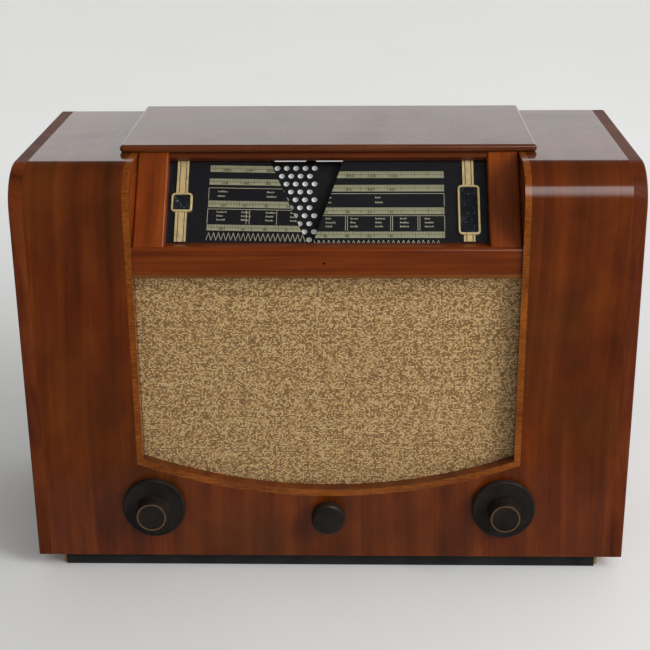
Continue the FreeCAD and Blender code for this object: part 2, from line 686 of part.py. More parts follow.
def wave_switch():
    """The switch on the wave shaft: three fixed wafers on two pillars, and the shaft with its discs."""
    wafers = (52.0, 66.0, 80.0)
    wafer_r, hub_r, thick = 20.0, 9.0, 1.6
    spindle = [rod_y(0, WAVE_Z, SHAFT_R, WAVE_FACE + 4.2, 90)]
    spindle += [rod_y(0, WAVE_Z, hub_r, y, y + thick) for y in wafers]
    export("wave_shaft", fused(spindle))

    bore = SHAFT_R + RUNNING
    wall = CHASSIS_FRONT + SHEET
    frame = [ring_y(0, WAVE_Z, bore, wafer_r, wall, wall + 2.4),
             ring_y(0, WAVE_Z, bore, WAVE_MOUNT_R - GAP, CHASSIS_FRONT - 6, wall)]
    frame += [ring_y(0, WAVE_Z, hub_r + 0.4, wafer_r, y, y + thick) for y in wafers]
    frame += [rod_y(x, WAVE_Z, 1.6, wall, wafers[-1] + 4) for x in (-17.0, 17.0)]
    export("wave_switch", fused(frame))


def shaft_bearings():
    """The volume and tone control, and the bush and ball drive of the tuning shafts."""
    wide_bore, narrow_bore = SLEEVE_R + RUNNING, SHAFT_R + RUNNING
    wall, bush_r, can_r = CHASSIS_FRONT + SHEET, MOUNT_HOLE_R - GAP, 16.0
    dual = [ring_y(-KNOB_X, KNOB_Z, wide_bore, bush_r, CHASSIS_FRONT - 6, wall + 1),
            ring_y(-KNOB_X, KNOB_Z, wide_bore, can_r, wall, DUAL_MIDDLE),
            ring_y(-KNOB_X, KNOB_Z, narrow_bore, can_r, DUAL_MIDDLE, DUAL_BACK),
            box(-KNOB_X - 12, -KNOB_X + 12, 36, 54, KNOB_Z - can_r - 8, KNOB_Z - can_r + 1)]
    export("dual_control", fused(dual))

    bush = fused([ring_y(KNOB_X, KNOB_Z, wide_bore, bush_r, CHASSIS_FRONT - 6, CHASSIS_FRONT + 14),
                  ring_y(KNOB_X, KNOB_Z, wide_bore, bush_r + 3, wall, CHASSIS_FRONT + 5)])
    front, back, r = DRIVE_FRONT, DRIVE_BACK, 13.0
    can = turned_y(KNOB_X, KNOB_Z, (
        (narrow_bore, front), (r - 1, front), (r, front + 1), (r, back), (r - 1, back + 2), (0, back + 2),
        (0, back + 0.5), (narrow_bore, back + 0.5)))
    hanger = box(KNOB_X - 10, KNOB_X + 10, front + 4, front + 8, KNOB_Z + r - 2, CHASSIS_TOP - SHEET)
    hanger = hanger.cut(rod_y(KNOB_X, KNOB_Z, r - 0.5, front - 4, back + 4))
    export("tuning_bearings", bush, can.fuse(hanger).removeSplitter())


# ================================================================ tuning drive
def grooved_wheel(x, z, y, r, flange, width, bore):
    """A wheel along Y with one V groove; r is to the middle of the cord in it."""
    bottom = r - CORD_R - 0.2
    half = width / 2
    return turned_y(x, z, (
        (bore, y - half), (r + flange, y - half), (r + flange, y - half + 0.9), (bottom, y - 0.7),
        (bottom, y + 0.7), (r + flange, y + half - 0.9), (r + flange, y + half), (bore, y + half)))


def tangent(c0, r0, c1, r1, side):
    """Where a straight belt run leaves one wheel and meets the other, as two (x, z) points."""
    dx, dz = c1[0] - c0[0], c1[1] - c0[1]
    gap = math.hypot(dx, dz)
    along = math.atan2(dz, dx)
    off = math.acos((r0 - r1) / gap) * side
    a = along + off
    return ((c0[0] + r0 * math.cos(a), c0[1] + r0 * math.sin(a)),
            (c1[0] + r1 * math.cos(a), c1[1] + r1 * math.sin(a)))


def wrap_edge(centre, a, b, y, through):
    """The arc of a cord round a wheel from a to b; through is the angle at its middle."""
    r = math.hypot(a[0] - centre[0], a[1] - centre[1])
    m = (centre[0] + r * math.cos(through), y, centre[1] + r * math.sin(through))
    return arc((a[0], y, a[1]), m, (b[0], y, b[1]))


def cord(edges):
    """A thin round cord swept along a closed flat path."""
    wire = Part.Wire(Part.__sortEdges__(edges))
    start = wire.OrderedVertexes[0].Point
    heading = wire.OrderedEdges[0].tangentAt(wire.OrderedEdges[0].FirstParameter)
    ring = Part.Wire(Part.makeCircle(CORD_R, start, heading))
    return wire.makePipeShell([ring], True, True)


def drum():
    """The cast drum: a groove for the pointer cord, a smaller one for the belt, and four windows."""
    flange, width = 1.6, 6.4
    rim = grooved_wheel(DRUM_X, DRUM_Z, CORD_Y, DRUM_R, flange, width, SHAFT_R)
    hub = grooved_wheel(DRUM_X, DRUM_Z, BELT_Y, BELT_DRUM_R, flange, width, SHAFT_R)
    link = ring_y(DRUM_X, DRUM_Z, SHAFT_R, BELT_DRUM_R - 6, CORD_Y + width / 2, BELT_Y - width / 2)
    front, back = CORD_Y - width, BELT_Y + width
    pocket = ring_y(DRUM_X, DRUM_Z, 14, BELT_DRUM_R - 8, CORD_Y - 4, BELT_Y + 1)
    half, long = 4.0, 60.0
    web = fused([box(DRUM_X - half, DRUM_X + half, front, back, DRUM_Z - long, DRUM_Z + long),
                 box(DRUM_X - long, DRUM_X + long, front, back, DRUM_Z - half, DRUM_Z + half)])
    return rim.fuse(hub).fuse(link).cut(pocket.cut(web)).removeSplitter()


def pulley_bar():
    """The bar under the cabinet top with the two pulleys' pins."""
    front, back, half = CORD_Y + 6.5, CORD_Y + 8.0, 7.0
    bar = [box(PULLEY_LEFT_X - 10, PULLEY_RIGHT_X + 10, front, back, PULLEY_Z - half, PULLEY_Z + half)]
    for x in (-90.0, 40.0, 170.0):
        bar.append(box(x - half, x + half, front, back, PULLEY_Z + half, UNDER_TOP - GAP))
    for x in (PULLEY_LEFT_X, PULLEY_RIGHT_X):
        bar.append(rod_y(x, PULLEY_Z, PIN_R, CORD_Y - 4, front))
        bar.append(rod_y(x, PULLEY_Z, PIN_R + 0.9, CORD_Y - 4, CORD_Y - 2.8))
        bar.append(rod_y(x, PULLEY_Z, PIN_R * 2, CORD_Y + 3, front))
    return fused(bar)


def pointer_cord():
    """The closed cord from the drum over both pulleys."""
    left, right, wheel = (PULLEY_LEFT_X, PULLEY_Z), (PULLEY_RIGHT_X, PULLEY_Z), (DRUM_X, DRUM_Z)
    y = CORD_Y
    outer = PULLEY_RIGHT_X + PULLEY_R
    on_pulley, on_drum = tangent(left, PULLEY_R, wheel, DRUM_R, -1)
    return cord([line((PULLEY_LEFT_X, y, RUN_Z), (PULLEY_RIGHT_X, y, RUN_Z)),
                 wrap_edge(right, (PULLEY_RIGHT_X, RUN_Z), (outer, PULLEY_Z), y, math.pi / 4),
                 line((outer, y, PULLEY_Z), (DRUM_X + DRUM_R, y, DRUM_Z)),
                 wrap_edge(wheel, (DRUM_X + DRUM_R, DRUM_Z), on_drum, y, -math.pi / 2),
                 line((on_drum[0], y, on_drum[1]), (on_pulley[0], y, on_pulley[1])),
                 wrap_edge(left, on_pulley, (PULLEY_LEFT_X, RUN_Z), y, math.pi * 0.9)])


def drive_cord():
    """The closed cord from the fast tuning sleeve to the drum."""
    spindle, wheel = (KNOB_X, KNOB_Z), (DRUM_X, DRUM_Z)
    y = BELT_Y
    up_left, low_left = tangent(wheel, BELT_DRUM_R, spindle, BELT_PULLEY_R, -1)
    up_right, low_right = tangent(wheel, BELT_DRUM_R, spindle, BELT_PULLEY_R, 1)
    return cord([line((up_left[0], y, up_left[1]), (low_left[0], y, low_left[1])),
                 line((up_right[0], y, up_right[1]), (low_right[0], y, low_right[1])),
                 wrap_edge(wheel, up_left, up_right, y, math.pi / 2),
                 wrap_edge(spindle, low_left, low_right, y, -math.pi / 2)])


def pointer():
    """The hooked pointer: a blade in front of the plate, a hook over its top, and a tail on the rod."""
    u, half = POINTER_X, 5.0
    blade_face, blade_back, tail_back = -13.2, -14.0, -50.5
    top = ROD_S + 5.2
    hook = fused([box(u - 0.6, u + 0.6, 10.5, top - 0.6, blade_back, blade_face),
                  box(u - half, u + half, top - 1, top, -27, blade_face),
                  box(u - half, u + half, ROD_S - 6, top, tail_back, -27)])
    hook = hook.cut(Part.makeCylinder(ROD_R + RUNNING, 8 * half, V(u - 4 * half, ROD_S, -ROD_DEPTH), X_AXIS))
    run = Part.makeCylinder(CORD_R + 0.3, 8 * half, V(u - 4 * half, CORD_Y, RUN_Z), X_AXIS)
    return on_slope(hook).cut(run)


def tuning_drive():
    """Drum, pulleys, cords, and the pointer on its rod."""
    export("tuning_drum", drum())
    for name, x in (("pulley_left", PULLEY_LEFT_X), ("pulley_right", PULLEY_RIGHT_X)):
        export(name, grooved_wheel(x, PULLEY_Z, CORD_Y, PULLEY_R, 1.5, 4.4, PIN_R + 0.06))
    export("pulley_bar", pulley_bar())
    export("pointer_cord", pointer_cord())
    export("drive_cord", drive_cord())
    guide = slope_point(0, ROD_S, ROD_DEPTH)
    reach = OPEN_HALF + ROD_SEAT
    export("pointer_rod", Part.makeCylinder(ROD_R, 2 * reach, V(-reach, guide.y, guide.z), X_AXIS))
    export("dial_pointer", pointer())


def half_disc(r, y, upper):
    """Half of a thin vane about the gang's shaft."""
    disc = rod_y(DRUM_X, DRUM_Z, r, y, y + VANE_THICK)
    keep = box(DRUM_X - FAR, DRUM_X + FAR, -FAR, FAR, DRUM_Z, DRUM_Z + FAR)
    return disc.common(keep) if upper else disc.cut(keep)


def tuning_gang():
    """Frame with fixed vanes, and the shaft with moving vanes that mesh with them."""
    first = GANG_FRONT + 6
    sections = (first, first + VANES * VANE_PITCH + 4)
    half, thick, low, high = 33.0, 2.0, DRUM_Z - 34, DRUM_Z + 32
    frame = []
    for y in (GANG_FRONT, GANG_BACK):
        plate = box(DRUM_X - half, DRUM_X + half, y, y + thick, CHASSIS_TOP, high)
        plate = rounded(plate, 8, lambda e: e.BoundBox.YLength > 1 and e.CenterOfMass.z > DRUM_Z
                        and e.BoundBox.XLength < 0.01 and e.BoundBox.ZLength < 0.01)
        frame.append(plate.cut(rod_y(DRUM_X, DRUM_Z, SHAFT_R + RUNNING, y - 1, y + thick + 1)))
    frame.append(box(DRUM_X - half, DRUM_X + half, GANG_FRONT + thick, GANG_BACK, low, low + thick))
    frame += [rod_y(DRUM_X + x, DRUM_Z + 24, 2, GANG_FRONT + thick, GANG_BACK) for x in (-20.0, 20.0)]
    for start in sections:
        for i in range(VANES + 1):
            y = start - VANE_PITCH / 2 + i * VANE_PITCH - VANE_THICK / 2
            frame.append(half_disc(VANE_R + 3, y, True).cut(rod_y(DRUM_X, DRUM_Z, 9, y - 1, y + 2)))
    export("gang_frame", fused(frame))

    rotor = [rod_y(DRUM_X, DRUM_Z, SHAFT_R, CORD_Y - 4, GANG_BACK + 6)]
    for start in sections:
        for i in range(VANES):
            y = start + i * VANE_PITCH - VANE_THICK / 2
            rotor.append(half_disc(VANE_R, y, False))
            rotor.append(rod_y(DRUM_X, DRUM_Z, 6.5, y - 0.4, y + VANE_THICK + 0.4))
    export("gang_rotor", fused(rotor))


# ================================================================ chassis and what stands on it
def chassis():
    """The bent steel tray with all its holes, and the bolts that hold it to the floor."""
    outer = box(-CHASSIS_HALF, CHASSIS_HALF, CHASSIS_FRONT, CHASSIS_BACK, FLOOR_TOP, CHASSIS_TOP)
    inner = box(-CHASSIS_HALF + SHEET, CHASSIS_HALF - SHEET, CHASSIS_FRONT + SHEET, CHASSIS_BACK - SHEET,
                FLOOR_TOP - 1, CHASSIS_TOP - SHEET)
    feet = []
    for x, y in BOLT_XY:
        x0, x1 = sorted((x - math.copysign(14, x), math.copysign(CHASSIS_HALF, x)))
        feet.append(box(x0, x1, y - 13, y + 13, FLOOR_TOP, FLOOR_TOP + SHEET))
    tray = fused([outer.cut(inner)] + feet)
    under, over = CHASSIS_TOP - 5, CHASSIS_TOP + 1
    front, behind = CHASSIS_FRONT - 1, CHASSIS_FRONT + 3
    rear_in, rear_out = CHASSIS_BACK - 3, CHASSIS_BACK + 1
    holes = [rod_z(x, y, VALVE_HOLE_R, under, over) for x, y in VALVE_XY]
    holes += [rod_z(x, y, BOLT_HOLE_R, FLOOR_TOP - 1, FLOOR_TOP + 4) for x, y in BOLT_XY]
    holes += [rod_y(x, KNOB_Z, MOUNT_HOLE_R, front, behind) for x in (-KNOB_X, KNOB_X)]
    holes.append(rod_y(0, WAVE_Z, WAVE_MOUNT_R, front, behind))
    holes.append(box(KNOB_X - 40, KNOB_X + 32, BELT_Y - 4, BELT_Y + 4, under, over))
    holes += [rod_y(x, SOCKET_Z, SOCKET_TUBE_R + 1.1, rear_in, rear_out) for x in SOCKET_X]
    holes.append(rod_y(GLAND_X, GLAND_Z, 6, rear_in, rear_out))
    for hole in holes:
        tray = tray.cut(hole)
    export("chassis", tray)

    bolts = []
    for x, y in BOLT_XY:
        head = rod_z(x, y, 4.5, PLINTH - 3.2, PLINTH - 0.2)
        washer = rod_z(x, y, 6.5, PLINTH - 0.2, PLINTH)
        shank = rod_z(x, y, BOLT_R, PLINTH - 1, FLOOR_TOP + 8)
        nut = rod_z(x, y, 4.4, FLOOR_TOP + SHEET, FLOOR_TOP + SHEET + 3.6)
        bolts.append(fused([head, washer, shank, nut]))
    export("chassis_bolts", *bolts)


def valve_glass(x, y):
    """One hollow bulb, shouldered below and domed above; heights are from the chassis deck."""
    outer = ((0, 27.2), (11.8, 27.2), (11.8, 31), (13.2, 36), (19, 50), (20.5, 58), (19.6, 67), (14, 78),
             (12.6, 82), (12.6, 92), (10.5, 98), (5, 101.5), (0, 102))
    inner = ((0, 101), (4.6, 100.5), (9.6, 97.3), (11.6, 91.8), (11.6, 81.8), (13.1, 77.4), (18.6, 66.7),
             (19.5, 58), (18.1, 50.3), (12.3, 36.3), (10.8, 31.2), (10.8, 28.4), (0, 28.4))
    solids = [turned_z(x, y, [(r, CHASSIS_TOP + z) for r, z in profile]) for profile in (outer, inner)]
    return solids[0].cut(solids[1])


def valve_electrodes(x, y):
    """Anode, stem, mica plate and two support wires inside one bulb."""
    deck = CHASSIS_TOP
    anode = rod_z(x, y, 8.5, deck + 44, deck + 76).cut(rod_z(x, y, 7.7, deck + 43, deck + 77))
    stem = rod_z(x, y, 4.5, deck + 28.4, deck + 40)
    plate = rod_z(x, y, 9.6, deck + 40, deck + 41)
    wires = [rod_z(x + dx, y, 0.6, deck + 38, deck + 82) for dx in (-8.1, 8.1)]
    return fused([anode, stem, plate] + wires)


def valves():
    """Five valves, each a socket under the deck, a base, a bulb and its electrodes."""
    deck = CHASSIS_TOP
    sockets, bases = [], []
    for x, y in VALVE_XY:
        neck = rod_z(x, y, VALVE_HOLE_R - 0.2, deck - 6, deck)
        flange = rod_z(x, y, VALVE_HOLE_R + 3, deck - 9, deck - SHEET - GAP)
        sockets.append(neck.fuse(flange).cut(rod_z(x, y, 4, deck - 10, deck + 1)))
        bases.append(turned_z(x, y, (
            (0, deck), (16, deck), (16, deck + 4), (14.6, deck + 6), (14.6, deck + 30),
            (12, deck + 30), (12, deck + 27), (0, deck + 27))))
    export("valve_bases_and_sockets", *bases, *sockets)
    export("valve_glass", *[valve_glass(x, y) for x, y in VALVE_XY])
    export("valve_electrodes", *[valve_electrodes(x, y) for x, y in VALVE_XY])


def cans():
    """Two screening cans of the tuned circuits, and two round smoothing capacitors."""
    deck = CHASSIS_TOP
    half, tall = 17.0, 82.0
    boxes = []
    for x, y in CAN_XY:
        can = box(x - half, x + half, y - half, y + half, deck, deck + tall)
        can = rounded(can, 5, lambda e: e.BoundBox.ZLength > 10)
        boxes.append(rounded(can, 1.5, lambda e: e.CenterOfMass.z > deck + tall - 1))
    export("if_transformer_cans", *boxes)
    tall = 76.0
    pots = [rounded(rod_z(x, 112, 15, deck, deck + tall), 2, lambda e: e.CenterOfMass.z > deck + tall - 1)
            for x in (-125.0, -90.0)]
    export("smoothing_capacitors", *pots)


def mains_transformer():
    """A stack of iron on four pillars, with the wound coil round its middle limb."""
    deck = CHASSIS_TOP
    x0, x1, y0, y1 = -222.0, -150.0, 100.0, 178.0
    mid_x = (x0 + x1) / 2
    low, high = deck + 26, deck + 52
    limb, window, yoke = 12.0, 12.0, 14.0
    core = box(x0, x1, y0, y1, low, high)
    feet = [rod_z(x, y, 2.2, deck, high + 6) for x in (x0 + 6, x1 - 6) for y in (y0 + 6, y1 - 6)]
    core = fused([core] + feet)
    for x in (mid_x - limb - window, mid_x + limb):
        core = core.cut(box(x, x + window, y0 + yoke, y1 - yoke, deck, deck + 90))

    air = 0.2
    half = limb + window - 2 * air
    coil = box(mid_x - half, mid_x + half, y0 + 3, y1 - 3, deck + 4, deck + 74)
    coil = rounded(coil, 7, lambda e: e.BoundBox.YLength > 50)
    coil = coil.cut(box(mid_x - limb - air, mid_x + limb + air, y0 - 1, y1 + 1, low - air, high + air))
    for x in (mid_x - half - air, mid_x + limb - 2 * air):
        for y in (y0, y1 - yoke - air):
            coil = coil.cut(box(x, x + window + air, y, y + yoke + air, low - air, high + air))
    export("mains_transformer", core, coil)


def rear_sockets():
    """The strip of four sockets that shows through the rear cover."""
    x0, x1 = SOCKET_X[0] - 14, SOCKET_X[-1] + 14
    z, back, half, thick = SOCKET_Z, CHASSIS_BACK, 11.0, 4.0
    strip = box(x0, x1, back + GAP, back + thick, z - half, z + half)
    strip = rounded(strip, 2.5, lambda e: e.BoundBox.YLength > 1 and e.BoundBox.XLength < 0.01
                    and e.BoundBox.ZLength < 0.01)
    tubes = []
    for x in SOCKET_X:
        strip = strip.cut(rod_y(x, z, SOCKET_TUBE_R + GAP, back - 1, back + thick + 1))
        collar = SOCKET_TUBE_R + 1.5
        tubes.append(turned_y(x, z, (
            (SOCKET_BORE, back - 7), (SOCKET_TUBE_R, back - 7), (SOCKET_TUBE_R, back + thick + GAP),
            (collar, back + thick + GAP), (collar, back + thick + 2), (collar - 0.6, back + thick + 3),
            (SOCKET_BORE, back + thick + 3))))
    export("socket_strip", strip, *tubes)


# ================================================================ loudspeaker
def speaker_frame():
    """The steel basket with four windows and the plate that the magnet sits on."""
    z, flange, back = SPEAKER_Z, BAFFLE_BACK + GAP, MAGNET_FRONT - 2
    skin, wide = 1.2, CONE_R + 4
    lip = BAFFLE_BACK + 2.2
    basket = turned_y(0, z, (
        (CONE_R + 0.6, flange), (FLANGE_R, flange), (FLANGE_R, lip), (wide, lip), (POT_R + 1, back),
        (POT_R + 1, MAGNET_FRONT - 0.2), (20, MAGNET_FRONT - 0.2), (20, back), (POT_R - skin, back),
        (wide - 2 * skin, lip + skin), (CONE_R + 0.6, lip + skin)))
    for i in range(4):
        a = math.pi / 4 + i * math.pi / 2
        basket = basket.cut(rod_y(56 * math.cos(a), z + 56 * math.sin(a), 17, lip + 3.3, back - 0.5))
    return basket


def speaker_cone():
    """The paper cone with a rolled edge, its centre dome and the coil former."""
    back, front = BAFFLE_BACK, MAGNET_FRONT
    neck, former, skin = 17.0, 15.9, 0.5
    return turned_y(0, SPEAKER_Z, (
        (CONE_R, back + 1.0), (CONE_R, back + 1.8), (CONE_R - 3, back + 3.2), (CONE_R - 6, back + 1.8),
        (CONE_R - 8, back + 3.0), (neck, front - 6), (former, front - 5), (former, front + 7),
        (former - skin, front + 7), (former - skin, front - 7), (8, front - 11), (0, front - 12),
        (0, front - 12.8), (8.4, front - 11.8), (neck, front - 7.2), (CONE_R - 8.6, back + 2.0),
        (CONE_R - 6, back + 1.0), (CONE_R - 3, back + 2.3)))


def speaker_magnet():
    """The pot magnet with the gap that the coil former moves in."""
    front, back = MAGNET_FRONT, MAGNET_BACK
    gap_in, gap_out = 14.4, 17.2
    return turned_y(0, SPEAKER_Z, (
        (gap_out, front), (POT_R, front), (POT_R, front + 5), (POT_R - 3, front + 5), (POT_R - 3, back - 3),
        (POT_R - 5, back), (0, back), (0, front - 0.5), (gap_in, front - 0.5), (gap_in, back - 12),
        (gap_out, back - 12)))


def output_transformer():
    """The small transformer on a saddle over the magnet."""
    z = SPEAKER_Z + POT_R + 1
    half, foot, front, back = 24.0, 3.0, 66.0, 86.0
    core = [box(-half, half, front, back, z, z + 36),
            box(-half - foot, -half, front, back, z, z + 2),
            box(half, half + foot, front, back, z, z + 2)]
    bobbin = box(-14, 14, front - 8, back + 8, z + 6, z + 30)
    saddle = box(-20, 20, front + 2, back - 2, z - 3.8, z)
    saddle = saddle.cut(rod_y(0, SPEAKER_Z, POT_R + GAP, front - 16, back + 34))
    return fused(core + [bobbin, saddle])


def loudspeaker():
    """Basket, cone, magnet and the output transformer."""
    export("speaker_frame", speaker_frame())
    export("speaker_cone", speaker_cone())
    export("speaker_magnet", speaker_magnet())
    export("output_transformer", output_transformer())


# ================================================================ build
def main():
    """Builds and writes every node."""
    os.makedirs("parts", exist_ok=True)
    cabinet()
    notch_walls()
    dial_surround()
    grille()
    plinth()
    rear()
    dial()
    controls()
    wave_switch()
    shaft_bearings()
    tuning_drive()
    tuning_gang()
    chassis()
    valves()
    cans()
    mains_transformer()
    rear_sockets()
    loudspeaker()


main()
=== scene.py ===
"""Looks of a veneered tabletop radio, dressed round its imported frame."""
import logging
import math
import random
from dataclasses import dataclass
from enum import Enum

import bmesh
import bpy
from mathutils import Matrix, Vector, noise


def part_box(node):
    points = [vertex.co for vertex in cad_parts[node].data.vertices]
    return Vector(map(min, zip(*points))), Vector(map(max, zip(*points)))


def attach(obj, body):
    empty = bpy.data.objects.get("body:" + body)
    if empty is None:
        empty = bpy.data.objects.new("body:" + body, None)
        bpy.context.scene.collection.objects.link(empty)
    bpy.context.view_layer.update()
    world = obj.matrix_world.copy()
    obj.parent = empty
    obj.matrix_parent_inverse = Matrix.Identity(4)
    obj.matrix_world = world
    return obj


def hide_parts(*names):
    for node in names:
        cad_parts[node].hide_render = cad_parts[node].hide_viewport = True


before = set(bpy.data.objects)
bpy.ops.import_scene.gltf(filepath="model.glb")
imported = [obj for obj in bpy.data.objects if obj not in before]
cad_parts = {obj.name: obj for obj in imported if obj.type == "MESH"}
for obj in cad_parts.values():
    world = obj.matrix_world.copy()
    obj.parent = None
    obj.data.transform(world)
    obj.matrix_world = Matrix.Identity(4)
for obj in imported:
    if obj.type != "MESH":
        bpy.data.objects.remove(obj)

LOG = logging.getLogger("radio")
MM = 0.001

Color = tuple[float, float, float]


def shade(color: Color, factor: float) -> Color:
    """The same colour, darker or lighter by a factor."""
    return tuple(c * factor for c in color)


# ---------------------------------------------------------------------------- shader kit
class Signal:
    """A number that varies over a surface. Arithmetic on it adds Math nodes."""

    def __init__(self, shader: "Shader", socket: bpy.types.NodeSocket) -> None:
        """Wraps one output socket of a shader."""
        self.shader = shader
        self.socket = socket

    def math(self, operation: str, *values: "Signal | float") -> "Signal":
        """Adds one Math node.

        Args:
            operation: Blender's name of the operation.
            values: its inputs, in order.

        Returns:
            The result as a signal.
        """
        node = self.shader.node("ShaderNodeMath", {"operation": operation}, dict(enumerate(values)))
        return Signal(self.shader, node.outputs[0])

    def __add__(self, other: "Signal | float") -> "Signal":
        """Sum."""
        return self.math("ADD", self, other)

    __radd__ = __add__

    def __sub__(self, other: "Signal | float") -> "Signal":
        """Difference."""
        return self.math("SUBTRACT", self, other)

    def __rsub__(self, other: "Signal | float") -> "Signal":
        """Difference, the other way round."""
        return self.math("SUBTRACT", other, self)

    def __mul__(self, other: "Signal | float") -> "Signal":
        """Product."""
        return self.math("MULTIPLY", self, other)

    __rmul__ = __mul__

    def __truediv__(self, other: "Signal | float") -> "Signal":
        """Quotient."""
        return self.math("DIVIDE", self, other)

    def __neg__(self) -> "Signal":
        """The same with its sign turned."""
        return self.math("MULTIPLY", self, -1.0)

    def __abs__(self) -> "Signal":
        """Size without sign."""
        return self.math("ABSOLUTE", self)

    def fraction(self) -> "Signal":
        """The part after the decimal point."""
        return self.math("FRACT", self)

    def floor(self) -> "Signal":
        """The next whole number down."""
        return self.math("FLOOR", self)

    def sine(self) -> "Signal":
        """Sine of an angle in radians."""
        return self.math("SINE", self)

    def root(self) -> "Signal":
        """Square root."""
        return self.math("SQRT", self)

    def larger(self, other: "Signal | float") -> "Signal":
        """The larger of two."""
        return self.math("MAXIMUM", self, other)

    def smaller(self, other: "Signal | float") -> "Signal":
        """The smaller of two."""
        return self.math("MINIMUM", self, other)

    def rise(self, low: float, high: float) -> "Signal":
        """Goes smoothly from 0 at low to 1 at high, and the other way where low is the larger."""
        node = self.shader.node("ShaderNodeMapRange", {"interpolation_type": "SMOOTHSTEP"},
                                {"Value": self, "From Min": low, "From Max": high})
        return Signal(self.shader, node.outputs[0])


class Shader:
    """One material under construction, with a Principled surface."""

    def __init__(self, name: str) -> None:
        """Starts a material of that name."""
        self.material = bpy.data.materials.new(name)
        self.material.use_nodes = True
        self.tree = self.material.node_tree
        self.tree.nodes.clear()
        self.output = self.tree.nodes.new("ShaderNodeOutputMaterial")
        self.principled = self.node("ShaderNodeBsdfPrincipled")
        self.tree.links.new(self.principled.outputs[0], self.output.inputs[0])

    def node(self, kind: str, settings: dict | None = None, inputs: dict | None = None) -> bpy.types.Node:
        """Adds any node.

        Args:
            kind: Blender's node type.
            settings: properties to set first; "stops" fills a colour ramp.
            inputs: values, signals or sockets, by the input's name or number.

        Returns:
            The new node.
        """
        made = self.tree.nodes.new(kind)
        for name, value in (settings or {}).items():
            if name == "stops":
                self._fill_ramp(made.color_ramp, value)
            else:
                setattr(made, name, value)
        for name, value in (inputs or {}).items():
            self._feed(made.inputs[name], value)
        return made

    @staticmethod
    def _fill_ramp(ramp: bpy.types.ColorRamp, stops: list[tuple[float, Color]]) -> None:
        """Sets a ramp's stops, each a position and a colour."""
        while len(ramp.elements) < len(stops):
            ramp.elements.new(1.0)
        for element, (position, color) in zip(ramp.elements, stops):
            element.position = position
            element.color = (*color, 1.0)

    def _feed(self, target: bpy.types.NodeSocket, value: object) -> None:
        """Links a signal or socket to an input, or sets a plain value on it."""
        if isinstance(value, Signal):
            value = value.socket
        if isinstance(value, bpy.types.NodeSocket):
            self.tree.links.new(value, target)
        elif target.type == "RGBA" and len(value) == 3:
            target.default_value = (*value, 1.0)
        else:
            target.default_value = value

    def place(self) -> tuple[Signal, Signal, Signal]:
        """X, Y and Z on the object, in metres."""
        coordinates = self.node("ShaderNodeTexCoord")
        return self.split(coordinates.outputs["Object"])

    def own_uv(self) -> tuple[Signal, Signal, Signal]:
        """The piece's own UV map."""
        coordinates = self.node("ShaderNodeTexCoord")
        return self.split(coordinates.outputs["UV"])

    def split(self, vector: bpy.types.NodeSocket) -> tuple[Signal, Signal, Signal]:
        """The three parts of a vector."""
        node = self.node("ShaderNodeSeparateXYZ", None, {0: vector})
        return tuple(Signal(self, socket) for socket in node.outputs)

    def vector(self, x: Signal | float, y: Signal | float, z: Signal | float) -> bpy.types.NodeSocket:
        """A vector made of three numbers."""
        return self.node("ShaderNodeCombineXYZ", None, {0: x, 1: y, 2: z}).outputs[0]

    def noise(self, x: Signal | float, y: Signal | float, z: Signal | float, detail: float = 2.0,
              roughness: float = 0.5, distortion: float = 0.0) -> Signal:
        """Cloudy noise about 0.5, one cloud to each unit of x, y and z."""
        node = self.node("ShaderNodeTexNoise", None, {
            "Vector": self.vector(x, y, z), "Scale": 1.0, "Detail": detail,
            "Roughness": roughness, "Distortion": distortion})
        return Signal(self, node.outputs[0])

    def speckle(self, x: Signal, y: Signal | float) -> Signal:
        """A different random number for each different pair of numbers."""
        node = self.node("ShaderNodeTexWhiteNoise", {"noise_dimensions": "3D"}, {0: self.vector(x, y, 0.0)})
        return Signal(self, node.outputs[0])

    def ramp(self, factor: Signal, stops: list[tuple[float, Color]]) -> bpy.types.NodeSocket:
        """A colour picked along a ramp."""
        return self.node("ShaderNodeValToRGB", {"stops": stops}, {0: factor}).outputs[0]

    def mix(self, factor: Signal | float, first: object, second: object,
            how: str = "MIX") -> bpy.types.NodeSocket:
        """Mixes two colours.

        Args:
            factor: share of the second colour.
            first: colour or socket.
            second: colour or socket.
            how: Blender's blend type.

        Returns:
            The mixed colour's socket.
        """
        node = self.node("ShaderNodeMix", {"data_type": "RGBA", "blend_type": how},
                         {0: factor, 6: first, 7: second})
        return node.outputs[2]

    def bump(self, height: Signal, depth: float,
             under: bpy.types.NodeSocket | None = None) -> bpy.types.NodeSocket:
        """A normal bent by a height of 0 to 1 that stands for that depth in metres."""
        inputs = {"Height": height, "Distance": depth, "Strength": 1.0}
        if under is not None:
            inputs["Normal"] = under
        return self.node("ShaderNodeBump", None, inputs).outputs[0]

    def surface(self, inputs: dict) -> bpy.types.Material:
        """Feeds the Principled surface and gives the finished material."""
        for name, value in inputs.items():
            self._feed(self.principled.inputs[name], value)
        return self.material


# ---------------------------------------------------------------------------- finishes
class Grain(Enum):
    """Which way the grain of a wooden piece runs."""

    BENT = "up the front, over the roll and back along the top"
    UPRIGHT = "up, on a board that stands edge on"
    CROSSWISE = "from side to side"
    SLOPING = "up a sloping board"


